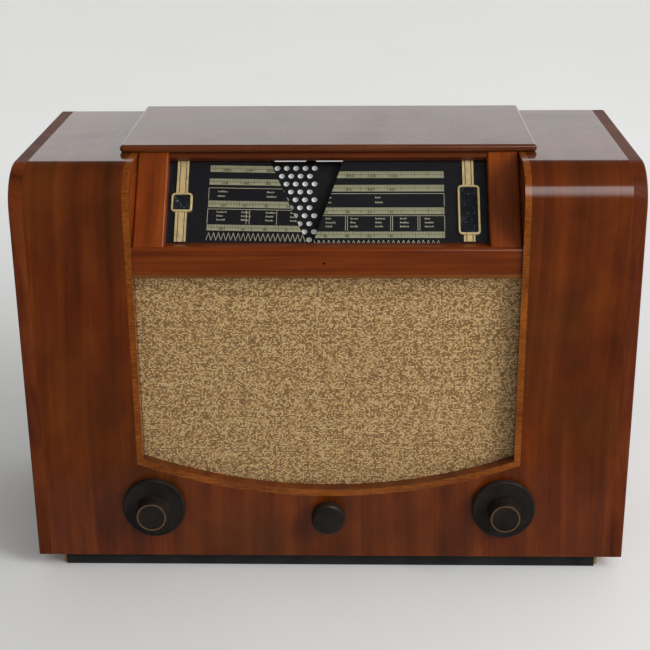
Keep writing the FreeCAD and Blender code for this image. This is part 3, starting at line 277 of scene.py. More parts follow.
@dataclass(frozen=True)
class Wood:
    """Wood or veneer, from dark to light, under lacquer or bare."""

    name: str
    dark: Color
    middle: Color
    light: Color
    grain: Grain
    streak: float = 11 * MM        # usual width of a streak
    vein: float = 0.35             # strength of the dark veins
    lacquer: float = 1.0
    gloss: float = 0.05            # roughness of the lacquer
    shift: float = 0.0             # moves the pattern, so that two boards differ
    edge_wear: float = 0.0         # distance of the worn outer corner from the middle
    fine: float = 0.3              # strength of the fine lines
    cloud: Color | None = None     # colour of the soft patches; darker wood where none is given
    clouding: float = 0.22
    crosswise_within: float = 0.0  # nearer the middle than this the grain runs from side to side
    # painted shade: a dark colour laid over the header, which lies in the shadow of the lid
    header_shade: Color = (0.05, 0.013, 0.006)
    header_shading: float = 0.62         # strength of that painted shade on the crosswise stretch, the header in the lid's shadow
    rubbed: Color = (0.5, 0.36, 0.22)      # bare wood at a worn corner
    crazing_and_reflection_above: float = 0.0      # height above which the right-hand lacquer is crazed, with pale streaks painted in as a reflection band

    def _grain_axes(self, shader: Shader) -> tuple[Signal, Signal]:
        """Distances across and along the grain."""
        x, y, z = shader.place()
        if self.grain is Grain.BENT:
            return x + self.shift, z - y
        if self.grain is Grain.UPRIGHT:
            return y + x * 0.2 + self.shift, z
        if self.grain is Grain.CROSSWISE:
            return z + y + self.shift, x
        return x + self.shift, z + y

    def material(self) -> bpy.types.Material:
        """Builds the material."""
        shader = Shader(self.name)
        across, along = self._grain_axes(shader)
        header = None
        if self.crosswise_within:
            x, y, z = shader.place()
            header = 1.0 - abs(x).rise(self.crosswise_within - 0.1 * MM, self.crosswise_within)
            across = across + (z + y - across) * header
            along = along + (x - along) * header
        sway = shader.noise(across * 5.0, along * 3.0, self.shift, 1.0) - 0.5
        fold = across + sway * (self.streak * 1.6)
        broad = shader.noise(fold / self.streak, along * 1.6, self.shift, 3.0, 0.55)
        narrow = shader.noise(fold / (self.streak * 0.16), along * 5.0, self.shift, 3.0, 0.6)
        line = shader.noise(fold / (0.9 * MM), along * 16.0, 3.0, 2.0, 0.6)
        blotch = shader.noise(fold / (self.streak * 2.2), along * 14.0, 6.0 + self.shift, 3.0, 0.6)
        tone = (broad - 0.5) * 0.75 + (narrow - 0.5) * (self.fine * 1.67) + (line - 0.5) * self.fine
        tone = tone + (blotch - 0.5) * 0.6 + 0.5
        color = shader.ramp(tone, [(0.18, self.dark), (0.5, self.middle), (0.84, self.light)])

        vein = shader.noise(fold / (self.streak * 0.75), along * 1.1, 9.0 + self.shift, 2.0, 0.5)
        vein_mask = vein.rise(0.60, 0.70) * narrow.rise(0.35, 0.6) * self.vein
        color = shader.mix(vein_mask, color, shade(self.dark, 0.35))

        pores = shader.noise(across / (0.42 * MM), along / (7 * MM), 5.0, 1.0).rise(0.60, 0.72)
        color = shader.mix(pores * 0.35, color, shade(self.dark, 0.5))
        cloud = shader.noise(across * 9.0, along * 9.0, 2.0 + self.shift, 2.0)
        patch = self.cloud or shade(self.dark, 0.6)
        color = shader.mix(cloud.rise(0.3, 0.75) * self.clouding, color, patch)
        # painted shade on the header, which lies in the lid's shadow
        if header is not None:
            color = shader.mix(header * self.header_shading, color, self.header_shade)
        if self.edge_wear:
            x, _, z = shader.place()
            rub = shader.noise(x * 90.0, along * 60.0, 1.0, 3.0, 0.7).rise(0.60, 0.66)
            corner = abs(x).rise(self.edge_wear, self.edge_wear + 0.8 * MM)
            color = shader.mix(corner * rub, color, self.rubbed)

        haze = shader.noise(across * 34.0, along * 34.0, 7.0, 3.0, 0.65)
        smear = shader.noise(across * 6.0, along * 14.0, 4.0, 2.0)
        bumps = line * 0.5 + pores * -0.6 + shader.noise(across * 240.0, along * 130.0, 0.0, 2.0) * 0.5
        if self.crazing_and_reflection_above:
            x, _, z = shader.place()
            zone = z.rise(self.crazing_and_reflection_above, self.crazing_and_reflection_above + 12 * MM) * x.rise(0.16, 0.19)
            craze = shader.noise(x * 40.0, along * 1100.0, 11.0, 3.0, 0.7)
            bumps = bumps + (craze - 0.5) * zone * 5.0
            # painted reflection: pale streaks in the crazed band stand for a bright band mirrored in the
            # right-hand roll
            color = shader.mix(zone * craze.rise(0.66, 0.74) * 0.35, color, (0.34, 0.22, 0.15))
        return shader.surface({
            "Base Color": color,
            "Roughness": haze * 0.25 + 0.38,
            "Coat Weight": self.lacquer - smear.rise(0.45, 0.9) * (0.25 * self.lacquer),
            "Coat Roughness": self.gloss,
            "Coat IOR": 1.4,
            "Specular IOR Level": 0.12,
            "Normal": shader.bump(bumps, 0.02 * MM),
        })


@dataclass(frozen=True)
class CrossBanding:
    """Inlaid strip cut across the grain, with a dark joint now and then."""

    name: str = "inlay_banding"
    dark: Color = (0.10, 0.020, 0.001)
    light: Color = (0.31, 0.083, 0.007)

    def material(self) -> bpy.types.Material:
        """Builds the material."""
        shader = Shader(self.name)
        x, y, z = shader.place()
        along = z - y
        mottle = shader.noise(x * 300.0, along * 260.0, 1.0, 3.0, 0.6)
        bars = shader.noise(x * 60.0, along * 900.0, 2.0, 2.0, 0.5)
        patch = shader.noise(x * 12.0, along * 24.0, 5.0, 2.0)
        tone = (mottle - 0.5) * 0.6 + (bars - 0.5) * 0.9 + (patch - 0.5) * 0.8 + 0.5
        color = shader.ramp(tone, [(0.2, self.dark), (0.75, self.light)])
        return shader.surface({
            "Base Color": color,
            "Roughness": mottle * 0.2 + 0.35,
            "Coat Weight": 0.9 - mottle * 0.2,
            "Coat Roughness": 0.12,
            "Specular IOR Level": 0.12,
            "Normal": shader.bump(bars + mottle, 0.02 * MM),
        })


@dataclass(frozen=True)
class Tweed:
    """Woven grille cloth in beige and brown yarns."""

    name: str = "tweed_cloth"
    warp: float = 1.4 * MM
    weft: float = 1.2 * MM
    brown: Color = (0.26, 0.135, 0.04)
    gap_shade: Color = (0.11, 0.056, 0.02)      # painted shade between the yarns
    beige: Color = (0.53, 0.295, 0.098)
    pale: Color = (0.86, 0.60, 0.28)

    def material(self) -> bpy.types.Material:
        """Builds the material, on a UV map in metres."""
        shader = Shader(self.name)
        u, v, _ = shader.own_uv()
        wander_u = shader.noise(u * 60.0, v * 420.0, 0.0, 2.0) - 0.5
        wander_v = shader.noise(u * 420.0, v * 60.0, 3.0, 2.0) - 0.5
        across = u / self.warp + wander_u * 1.1
        up = v / self.weft + wander_v * 1.2
        column, row = across.floor(), up.floor()
        over = ((column + row) * 0.5).fraction().rise(0.2, 0.3)
        warp_round = (across.fraction() * math.pi).sine()
        weft_round = (up.fraction() * math.pi).sine()
        height = weft_round * (1.0 - over) + warp_round * weft_round * over
        cell = shader.speckle(column, row)
        yarn = shader.speckle(row, 4.0)
        slub = shader.noise(across * 0.22, row * 0.9, 6.0, 2.0, 0.6)
        drift = shader.noise(u * 95.0 + v * 40.0, v * 260.0 - u * 70.0, 8.0, 3.0, 0.6)
        tone = (cell - 0.5) * 1.15 + (slub - 0.5) * 0.5 + (drift - 0.5) * 0.55 + (yarn - 0.5) * 0.2 + 0.5
        color = shader.ramp(tone, [(0.16, self.brown), (0.46, self.beige), (0.86, self.pale)])
        # painted shade: darker where the weave lies low between the yarns
        color = shader.mix(1.0 - height.rise(-0.1, 0.62), color, self.gap_shade)
        fuzz = shader.noise(u * 4000.0, v * 4000.0, 0.0, 2.0)
        return shader.surface({
            "Base Color": color,
            "Roughness": fuzz * 0.2 + 0.78,
            "Specular IOR Level": 0.25,
            "Sheen Weight": 0.25,
            "Normal": shader.bump(height + fuzz * 0.25 + slub * 0.6, 0.5 * MM),
        })


@dataclass(frozen=True)
class Moulded:
    """Moulded or painted material: one colour, slight mottling, dust and handling marks."""

    name: str
    color: Color
    roughness: float = 0.3
    mottle: float = 0.25
    dust: float = 0.08
    coat: float = 0.0
    grain_size: float = 2 * MM
    depth: float = 0.03 * MM
    glow: float = 0.0
    shine: float = 0.5

    def material(self) -> bpy.types.Material:
        """Builds the material."""
        shader = Shader(self.name)
        x, y, z = shader.place()
        size = 1.0 / self.grain_size
        fine = shader.noise(x * size, y * size, z * size, 3.0, 0.6)
        wide = shader.noise(x * 40.0, y * 40.0, z * 40.0, 3.0, 0.6)
        lit = tuple(min(1.0, c * (1 + self.mottle) + 0.01) for c in self.color)
        deep = shade(self.color, 1 - self.mottle)
        color = shader.ramp(wide * 0.6 + fine * 0.4, [(0.3, deep), (0.7, lit)])
        specks = shader.noise(x * 900.0, y * 900.0, z * 900.0, 2.0, 0.7).rise(0.62, 0.75)
        specks = specks * wide.rise(0.35, 0.7)
        color = shader.mix(specks * self.dust, color, (0.45, 0.42, 0.37))
        inputs = {
            "Base Color": color,
            "Roughness": fine * 0.12 + wide * 0.16 + (self.roughness - 0.14),
            "Coat Weight": self.coat,
            "Coat Roughness": 0.06,
            "Specular IOR Level": self.shine,
            "Normal": shader.bump(fine, self.depth),
        }
        if self.glow:
            inputs["Emission Color"] = self.color
            inputs["Emission Strength"] = self.glow
        return shader.surface(inputs)


@dataclass(frozen=True)
class Metal:
    """Bare or plated metal with tarnish and fine scratches."""

    name: str
    color: Color
    tarnish: Color
    roughness: float = 0.3
    aged: float = 0.4
    metallic: float = 1.0

    def material(self) -> bpy.types.Material:
        """Builds the material."""
        shader = Shader(self.name)
        x, y, z = shader.place()
        patches = shader.noise(x * 70.0, y * 70.0, z * 70.0, 4.0, 0.65)
        scratches = shader.noise(x * 2600.0, y * 130.0, z * 190.0, 2.0, 0.5)
        age = patches.rise(0.38, 0.72) * self.aged
        color = shader.mix(age, self.color, self.tarnish)
        color = shader.mix(scratches.rise(0.55, 0.8) * 0.2, color, shade(self.color, 0.7))
        return shader.surface({
            "Base Color": color,
            "Metallic": self.metallic - age * 0.25,
            "Roughness": age * 0.3 + scratches * 0.12 + (self.roughness - 0.06),
            "Normal": shader.bump(scratches, 0.008 * MM),
        })


@dataclass(frozen=True)
class Slope:
    """The plane of the dial: across, up the slope, and out of it."""

    lean: float = math.radians(42)
    behind_rail_face: float = 3 * MM      # where the plane meets the top of the rail

    @property
    def foot(self) -> tuple[float, float]:
        """Y and Z of the slope's lower edge."""
        low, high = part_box("dial_rail")
        return low.y + self.behind_rail_face, high.z

    @property
    def matrix(self) -> Matrix:
        """Turns the slope's own axes into the radio's."""
        y, z = self.foot
        s, c = math.sin(self.lean), math.cos(self.lean)
        return Matrix(((1, 0, 0, 0), (0, s, -c, y), (0, c, s, z), (0, 0, 0, 1)))

    def place(self, bm: bmesh.types.BMesh) -> None:
        """Moves a mesh from the slope's axes to the radio's."""
        bmesh.ops.transform(bm, matrix=self.matrix, verts=bm.verts)

    def axes(self, shader: Shader) -> tuple[Signal, Signal, Signal]:
        """Distances across, up the slope and out of it, as signals."""
        x, y, z = shader.place()
        foot_y, foot_z = self.foot
        s, c = math.sin(self.lean), math.cos(self.lean)
        back, up = y - foot_y, z - foot_z
        return x, back * s + up * c, up * s - back * c


@dataclass(frozen=True)
class Gilt:
    """Pressed metal lacquered in pale gold, with painted shade in its hollows."""

    slope: Slope
    name: str = "gilt_pressing"
    bar_face: float = -7.9 * MM           # face of the flat bars, measured out of the slope
    color: Color = (0.66, 0.50, 0.25)
    worn: Color = (0.36, 0.25, 0.10)
    hollow_shade: Color = (0.05, 0.03, 0.012)

    def material(self) -> bpy.types.Material:
        """Builds the material."""
        shader = Shader(self.name)
        u, s, n = self.slope.axes(shader)
        wear = shader.noise(u * 260.0, s * 180.0, n * 180.0, 4.0, 0.65)
        lines = shader.noise(u * 1500.0, s * 60.0, n * 60.0, 2.0)
        color = shader.mix(wear.rise(0.42, 0.72) * 0.8, self.color, self.worn)
        # painted shade: darker where the surface lies below the face of the bars
        deep = n.rise(self.bar_face - 0.04 * MM, self.bar_face - 0.22 * MM)
        color = shader.mix(deep * 0.85, color, self.hollow_shade)
        return shader.surface({
            "Base Color": color,
            "Metallic": 0.35 - wear * 0.2,
            "Roughness": wear * 0.2 + lines * 0.1 + 0.32,
            "Normal": shader.bump(lines, 0.02 * MM),
        })


@dataclass(frozen=True)
class SpotCard:
    """White card seen through the holes of the plate, with a faint grey ring in each spot and a painted glow,
    though it is no lamp.
    """

    slope: Slope
    name: str = "spot_card"
    column: float = 8.3 * MM
    row: float = 7.75 * MM
    first: tuple[float, float] = (-11.5 * MM, 84.7 * MM)      # middle of the top right-hand spot
    white: Color = (0.90, 0.91, 0.90)
    grey: Color = (0.30, 0.31, 0.33)
    ring: float = 0.95 * MM
    # painted light: the card glows faintly, though it is no lamp
    glow: float = 0.10

    def _from_spot(self, u: Signal, s: Signal, shift: float) -> Signal:
        """Distance to the nearest spot in every second row, the columns moved over by shift."""
        across = ((u - (self.first[0] + (shift - 0.5) * self.column)) / self.column).fraction() - 0.5
        up = ((s - (self.first[1] + (2 * shift - 1) * self.row)) / (2 * self.row)).fraction() - 0.5
        flat, tall = across * self.column, up * (2 * self.row)
        return (flat * flat + tall * tall).root()

    def material(self) -> bpy.types.Material:
        """Builds the material."""
        shader = Shader(self.name)
        u, s, _ = self.slope.axes(shader)
        near = self._from_spot(u, s, 0.0).smaller(self._from_spot(u, s, 0.5))
        ring_mask = 1.0 - abs(near - self.ring).rise(0.15 * MM, 0.45 * MM)
        pulp = shader.noise(u * 900.0, s * 900.0, 0.0, 3.0, 0.6)
        color = shader.mix(ring_mask * 0.62, self.white, self.grey)
        color = shader.mix(pulp.rise(0.4, 0.8) * 0.08, color, self.grey)
        return shader.surface({
            "Base Color": color,
            "Roughness": pulp * 0.1 + 0.75,
            "Emission Color": color,
            "Emission Strength": self.glow,
            "Normal": shader.bump(pulp, 0.03 * MM),
        })


@dataclass(frozen=True)
class ClearGlass:
    """Blown or cut glass, faintly dusty."""

    name: str
    tint: Color = (0.93, 0.96, 0.95)
    through: float = 1.0

    def material(self) -> bpy.types.Material:
        """Builds the material."""
        shader = Shader(self.name)
        x, y, z = shader.place()
        dust = shader.noise(x * 220.0, y * 220.0, z * 220.0, 4.0, 0.7)
        color = shader.mix(dust.rise(0.6, 0.8) * 0.12, self.tint, (0.7, 0.68, 0.62))
        return shader.surface({
            "Base Color": color,
            "Roughness": dust.rise(0.5, 0.8) * 0.14 + 0.02,
            "IOR": 1.5,
            "Transmission Weight": self.through,
        })


@dataclass(frozen=True)
class PaintedGlass:
    """Glass painted black on its back: deep black with a clear, slightly dusty face."""

    name: str = "black_glass"

    def material(self) -> bpy.types.Material:
        """Builds the material."""
        shader = Shader(self.name)
        x, y, z = shader.place()
        smear = shader.noise(x * 22.0, y * 60.0, z * 60.0, 4.0, 0.65)
        specks = shader.noise(x * 1300.0, y * 1300.0, z * 1300.0, 2.0, 0.7).rise(0.68, 0.76)
        color = shader.mix(specks * 0.25, (0.012, 0.012, 0.014), (0.3, 0.3, 0.28))
        return shader.surface({
            "Base Color": color,
            "Roughness": smear * 0.2 + 0.12,
            "Coat Weight": 1.0 - smear * 0.3,
            "Coat Roughness": 0.05,
            "Normal": shader.bump(smear, 0.02 * MM),
        })


@dataclass(frozen=True)
class ScaleStrip:
    """Pale scale printed on the glass, with a base line and ticks."""

    name: str = "scale_strip"
    pale: Color = (0.31, 0.30, 0.185)
    ink: Color = (0.026, 0.026, 0.016)
    tick: float = 2.35 * MM

    def material(self) -> bpy.types.Material:
        """Builds the material, on a UV map with metres along the strip and 0 to 1 across it."""
        shader = Shader(self.name)
        u, v, _ = shader.own_uv()
        beat = (u / self.tick).fraction()
        minor = (1.0 - abs(beat - 0.5).rise(0.07, 0.12)) * v.rise(0.50, 0.54)
        long_beat = (u / (self.tick * 5)).fraction()
        major = (1.0 - abs(long_beat - 0.5).rise(0.02, 0.034)) * v.rise(0.18, 0.22)
        base = 1.0 - abs(v - 0.5).rise(0.035, 0.07)
        fade = shader.noise(u * 120.0, v * 1.5, 2.0, 3.0, 0.6)
        marks = minor.larger(major).larger(base * 0.75) * (fade * 0.5 + 0.55)
        color = shader.mix(fade.rise(0.4, 0.8) * 0.35, self.pale, shade(self.pale, 0.62))
        color = shader.mix(marks, color, self.ink)
        return shader.surface({
            "Base Color": color,
            "Roughness": fade * 0.2 + 0.28,
            "Coat Weight": 1.0 - fade * 0.3,
            "Coat Roughness": 0.05,
        })


@dataclass(frozen=True)
class WindowGlass:
    """Dark glass of a small window, with rubbed pale marks in it."""

    name: str = "window_glass_dark"

    def material(self) -> bpy.types.Material:
        """Builds the material."""
        shader = Shader(self.name)
        x, y, z = shader.place()
        cloud = shader.noise(x * 130.0, y * 130.0, z * 130.0, 4.0, 0.7)
        flakes = shader.noise(x * 420.0, y * 500.0, z * 300.0, 3.0, 0.7).rise(0.63, 0.68)
        color = shader.mix(cloud.rise(0.45, 0.8) * 0.7, (0.012, 0.014, 0.017), (0.055, 0.062, 0.07))
        color = shader.mix(flakes * 0.5, color, (0.5, 0.52, 0.52))
        return shader.surface({
            "Base Color": color,
            "Roughness": cloud * 0.15 + 0.08,
            "Coat Weight": 1.0 - cloud * 0.25,
            "Coat Roughness": 0.04,
            "Normal": shader.bump(cloud, 0.03 * MM),
        })


@dataclass(frozen=True)
class FibreBoard:
    """Pressed brown board with fibres in all directions."""

    name: str = "fibre_board"
    color: Color = (0.16, 0.085, 0.04)

    def material(self) -> bpy.types.Material:
        """Builds the material."""
        shader = Shader(self.name)
        x, y, z = shader.place()
        flat = shader.noise(x * 420.0, z * 90.0, y * 90.0, 4.0, 0.7)
        tall = shader.noise(x * 90.0, z * 420.0, y * 90.0, 4.0, 0.7)
        stain = shader.noise(x * 11.0, z * 11.0, 2.0, 3.0, 0.6)
        lit = shade(self.color, 1.7)
        deep = shade(self.color, 0.55)
        color = shader.ramp(flat.larger(tall) * 0.6 + stain * 0.4, [(0.36, deep), (0.66, lit)])
        return shader.surface({
            "Base Color": color,
            "Roughness": flat * 0.25 + 0.58,
            "Normal": shader.bump(flat.larger(tall), 0.12 * MM),
        })


@dataclass(frozen=True)
class BraidedCord:
    """Thin braided cord, with painted shade where its strands lie low, paler where they stand up."""

    name: str = "braided_cord"
    color: Color = (0.42, 0.33, 0.2)

    def material(self) -> bpy.types.Material:
        """Builds the material."""
        shader = Shader(self.name)
        x, y, z = shader.place()
        turns = ((x + z) * 4200.0 + y * 9000.0).sine()
        back = ((x - z) * 4200.0 - y * 9000.0).sine()
        plait = turns.larger(back)
        # painted shade: darker where the plait lies low
        color = shader.mix(plait.rise(-0.2, 0.9), shade(self.color, 0.4), self.color)
        return shader.surface({
            "Base Color": color,
            "Roughness": 0.9 - plait * 0.08,
            "Normal": shader.bump(plait, 0.1 * MM),
        })


@dataclass(frozen=True)
class ConePaper:
    """Black pressed paper with rings from its mould."""

    name: str = "cone_paper"
    color: Color = (0.03, 0.028, 0.026)
    center_z: float = 0.178

    def material(self) -> bpy.types.Material:
        """Builds the material."""
        shader = Shader(self.name)
        x, y, z = shader.place()
        up = z - self.center_z
        radius = (x * x + up * up).root()
        rings = (radius * 1600.0).sine()
        pulp = shader.noise(x * 700.0, y * 700.0, z * 700.0, 4.0, 0.75)
        deep, pale = shade(self.color, 0.6), shade(self.color, 1.8)
        color = shader.mix(pulp.rise(0.3, 0.75), deep, pale)
        return shader.surface({
            "Base Color": color,
            "Roughness": pulp * 0.2 + 0.72,
            "Normal": shader.bump(pulp + rings * 0.25, 0.1 * MM),
        })


@dataclass(frozen=True)
class Laminations:
    """Stacked iron sheets, varnished, with the wrapped winding in brown paper."""

    name: str
    low: tuple[float, float, float]
    high: tuple[float, float, float]
    iron: Color = (0.035, 0.032, 0.03)
    paper: Color = (0.30, 0.18, 0.07)

    def material(self) -> bpy.types.Material:
        """Builds the material; the wrapped winding is what stands above and below the stack."""
        shader = Shader(self.name)
        x, y, z = shader.place()
        stack = (z * 1800.0).sine()
        fibre = shader.noise(x * 300.0, y * 60.0, z * 300.0, 4.0, 0.7)
        above = z.rise(self.high[2], self.high[2] + 0.4 * MM)
        outside = above.larger(z.rise(self.low[2], self.low[2] - 0.4 * MM))
        wrapped = outside * (1.0 - abs(x - (self.low[0] + self.high[0]) / 2).rise(24 * MM, 25 * MM))
        paper = shader.mix(fibre.rise(0.35, 0.7), shade(self.paper, 0.6), self.paper)
        iron = shader.mix(stack.rise(0.2, 0.9) * 0.5, self.iron, shade(self.iron, 2.4))
        return shader.surface({
            "Base Color": shader.mix(wrapped, iron, paper),
            "Roughness": fibre * 0.2 + 0.4,
            "Normal": shader.bump(stack * 0.5 + fibre, 0.1 * MM),
        })


# ---------------------------------------------------------------------------- pieces
def dress(nodes: list[str], material: bpy.types.Material) -> None:
    """Gives CAD nodes one finished material."""
    for name in nodes:
        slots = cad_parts[name].data.materials
        slots.clear()
        slots.append(material)


def publish(bm: bmesh.types.BMesh, name: str, body: str,
            material: bpy.types.Material) -> bpy.types.Object:
    """Turns a bmesh into a piece that rides on a body.

    Args:
        bm: the mesh, already in place; it is freed.
        name: the piece's name.
        body: the CAD body it rides on.
        material: its finish.

    Returns:
        The new object.
    """
    mesh = bpy.data.meshes.new(name)
    bm.to_mesh(mesh)
    bm.free()
    mesh.materials.append(material)
    piece = bpy.data.objects.new(name, mesh)
    bpy.context.scene.collection.objects.link(piece)
    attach(piece, body)
    LOG.info("%s: %d faces on %s", name, len(mesh.polygons), body)
    return piece


def add_block(bm: bmesh.types.BMesh, low: Vector, high: Vector) -> list[bmesh.types.BMVert]:
    """Adds a block between two corners and gives its vertices."""
    size = high - low
    matrix = Matrix.Translation((low + high) / 2) @ Matrix.Diagonal((*size, 1.0))
    return bmesh.ops.create_cube(bm, size=1.0, matrix=matrix)["verts"]


@dataclass
class Cabinet:
    """Case, lid, notch and plinth."""

    walnut: Wood = Wood("walnut_front", (0.040, 0.0062, 0.0004), (0.124, 0.0200, 0.0012),
                        (0.235, 0.049, 0.0035), Grain.BENT, edge_wear=268.6 * MM, streak=16 * MM,
                        vein=0.2, fine=0.13,
                        cloud=(0.058, 0.026, 0.004), clouding=0.38, crazing_and_reflection_above=322 * MM)
    sides: Wood = Wood("walnut_sides", (0.040, 0.007, 0.001), (0.13, 0.022, 0.002), (0.24, 0.052, 0.006),
                       Grain.UPRIGHT, streak=14 * MM, lacquer=0.22, gloss=0.38, shift=2.3)
    lid: Wood = Wood("walnut_lid", (0.06, 0.012, 0.003), (0.12, 0.030, 0.008), (0.17, 0.050, 0.013),
                     Grain.CROSSWISE, streak=8 * MM, vein=0.2, shift=1.1, gloss=0.16)
    mahogany: Wood = Wood("stained_mahogany", (0.10, 0.018, 0.0015), (0.205, 0.038, 0.003),
                          (0.29, 0.062, 0.006), Grain.SLOPING, streak=6 * MM, vein=0.15, lacquer=0.75,
                          gloss=0.18, shift=3.7, crosswise_within=139.8 * MM)
    rail: Wood = Wood("stained_rail", (0.085, 0.014, 0.0012), (0.165, 0.028, 0.002), (0.24, 0.05, 0.0045),
                      Grain.CROSSWISE, streak=4 * MM, vein=0.25, lacquer=0.8, gloss=0.15, shift=5.2)
    bead: Wood = Wood("bead_strip", (0.09, 0.024, 0.004), (0.19, 0.055, 0.008), (0.27, 0.088, 0.015),
                      Grain.CROSSWISE, streak=2 * MM, vein=0.1, lacquer=0.6, gloss=0.2, shift=6.1)
    bare_ply: Wood = Wood("bare_ply", (0.22, 0.13, 0.06), (0.40, 0.26, 0.13), (0.52, 0.36, 0.2),
                          Grain.CROSSWISE, streak=9 * MM, vein=0.1, lacquer=0.0, shift=0.7)
    bare_batten: Wood = Wood("bare_batten", (0.30, 0.17, 0.07), (0.46, 0.29, 0.14), (0.60, 0.42, 0.23),
                             Grain.CROSSWISE, streak=5 * MM, vein=0.1, lacquer=0.0, shift=8.4)
    plinth_paint: Moulded = Moulded("plinth_paint", (0.0165, 0.0155, 0.0155), roughness=0.42,
                                    mottle=0.3, dust=0.12, shine=0.3)

    def dress(self) -> None:
        """Finishes every wooden piece of the case."""
        dress(["front_panel"], self.walnut.material())
        dress(["side_panels"], self.sides.material())
        dress(["top_lid"], self.lid.material())
        dress(["dial_surround", "notch_walls"], self.mahogany.material())
        dress(["dial_rail"], self.rail.material())
        dress(["rail_bead"], self.bead.material())
        dress(["opening_inlay"], CrossBanding().material())
        dress(["base_board", "baffle_board"], self.bare_ply.material())
        dress(["plinth_battens"], self.bare_batten.material())
        dress(["plinth_front"], self.plinth_paint.material())
        LOG.info("cabinet dressed")


@dataclass
class Grille:
    """Cloth stretched over the front of the baffle board."""

    cell: float = 1.5 * MM
    slub: float = 0.12 * MM
    thickness: float = 0.5 * MM
    seed: float = 4.0

    @staticmethod
    def _edge_radius(low: Vector, high: Vector) -> float:
        """Radius of the curved lower edge, an arc through its lowest point and both lower corners."""
        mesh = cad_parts["grille_cloth"].data
        corner = min(v.co.z for v in mesh.vertices if v.co.x > high.x - 0.01 * MM)
        sag = corner - low.z
        return (high.x * high.x + sag * sag) / (2 * sag)

    def build(self) -> None:
        low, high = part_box("grille_cloth")
        columns = round((high.x - low.x) / self.cell)
        rows = round((high.z - low.z) / self.cell)
        bm = bmesh.new()
        bmesh.ops.create_grid(bm, x_segments=columns, y_segments=rows, size=0.5)
        uv = bm.loops.layers.uv.new("weave")
        front = low.y + self.slub
        radius = self._edge_radius(low, high)
        for vert in bm.verts:
            x = low.x + (vert.co.x + 0.5) * (high.x - low.x)
            bottom = low.z + radius - math.sqrt(radius * radius - x * x)
            z = bottom + (vert.co.y + 0.5) * (high.z - bottom)
            lump = noise.noise(Vector((x * 260, self.seed, z * 420)))
            vert.co = Vector((x, front - lump * self.slub, z))
        for face in bm.faces:
            for loop in face.loops:
                loop[uv].uv = (loop.vert.co.x, loop.vert.co.z)
            face.smooth = True
        bmesh.ops.recalc_face_normals(bm, faces=bm.faces)
        if bm.faces[0].normal.y > 0:
            bmesh.ops.reverse_faces(bm, faces=bm.faces)
        area = sum(face.calc_area() for face in bm.faces)
        bmesh.ops.solidify(bm, geom=bm.faces, thickness=self.thickness)
        cloth = publish(bm, "grille_weave", "cabinet", Tweed().material())
        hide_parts("grille_cloth")


class Side(Enum):
    """One of the two panes of the dial."""

    LEFT = -1
    RIGHT = 1


@dataclass(frozen=True)
class PrintLayout:
    """Where the printing lies on one pane, all in metres on the slope."""

    side: Side
    outer: float                    # outer end of the scales, away from the break
    strips: tuple[tuple[float, float], ...]
    upper_box: tuple[float, float]
    lower_box: tuple[float, float]
    dividers: tuple[float, ...]
    zigzag: tuple[float, float]
    turn: float                     # how far the pane has turned
    break_top: tuple[float, float]
    break_foot: tuple[float, float]


LEFT_PRINT = PrintLayout(
    side=Side.LEFT, outer=-103.8 * MM,
    strips=((77.4 * MM, 83.9 * MM), (64.8 * MM, 70.8 * MM), (42.8 * MM, 49.2 * MM), (20.4 * MM, 26.1 * MM)),
    upper_box=(50.2 * MM, 61.9 * MM), lower_box=(26.9 * MM, 41.3 * MM),
    dividers=(-69.8 * MM, -67.0 * MM, -43.3 * MM), zigzag=(11.0 * MM, 18.3 * MM), turn=math.radians(-1.2),
    break_top=(-49.9 * MM, 85.9 * MM), break_foot=(-17.4 * MM, 8.6 * MM))
RIGHT_PRINT = PrintLayout(
    side=Side.RIGHT, outer=102.0 * MM,
    strips=((71.0 * MM, 77.5 * MM), (57.8 * MM, 64.2 * MM), (35.8 * MM, 42.2 * MM), (13.0 * MM, 19.0 * MM)),
    upper_box=(43.4 * MM, 55.9 * MM), lower_box=(20.0 * MM, 34.5 * MM),
    dividers=(16.0 * MM, 17.8 * MM, 55.2 * MM, 56.9 * MM, 78.8 * MM, 80.6 * MM), zigzag=(5.2 * MM, 10.8 * MM),
    turn=0.0, break_top=(12.7 * MM, 85.8 * MM), break_foot=(-12.1 * MM, 8.6 * MM))


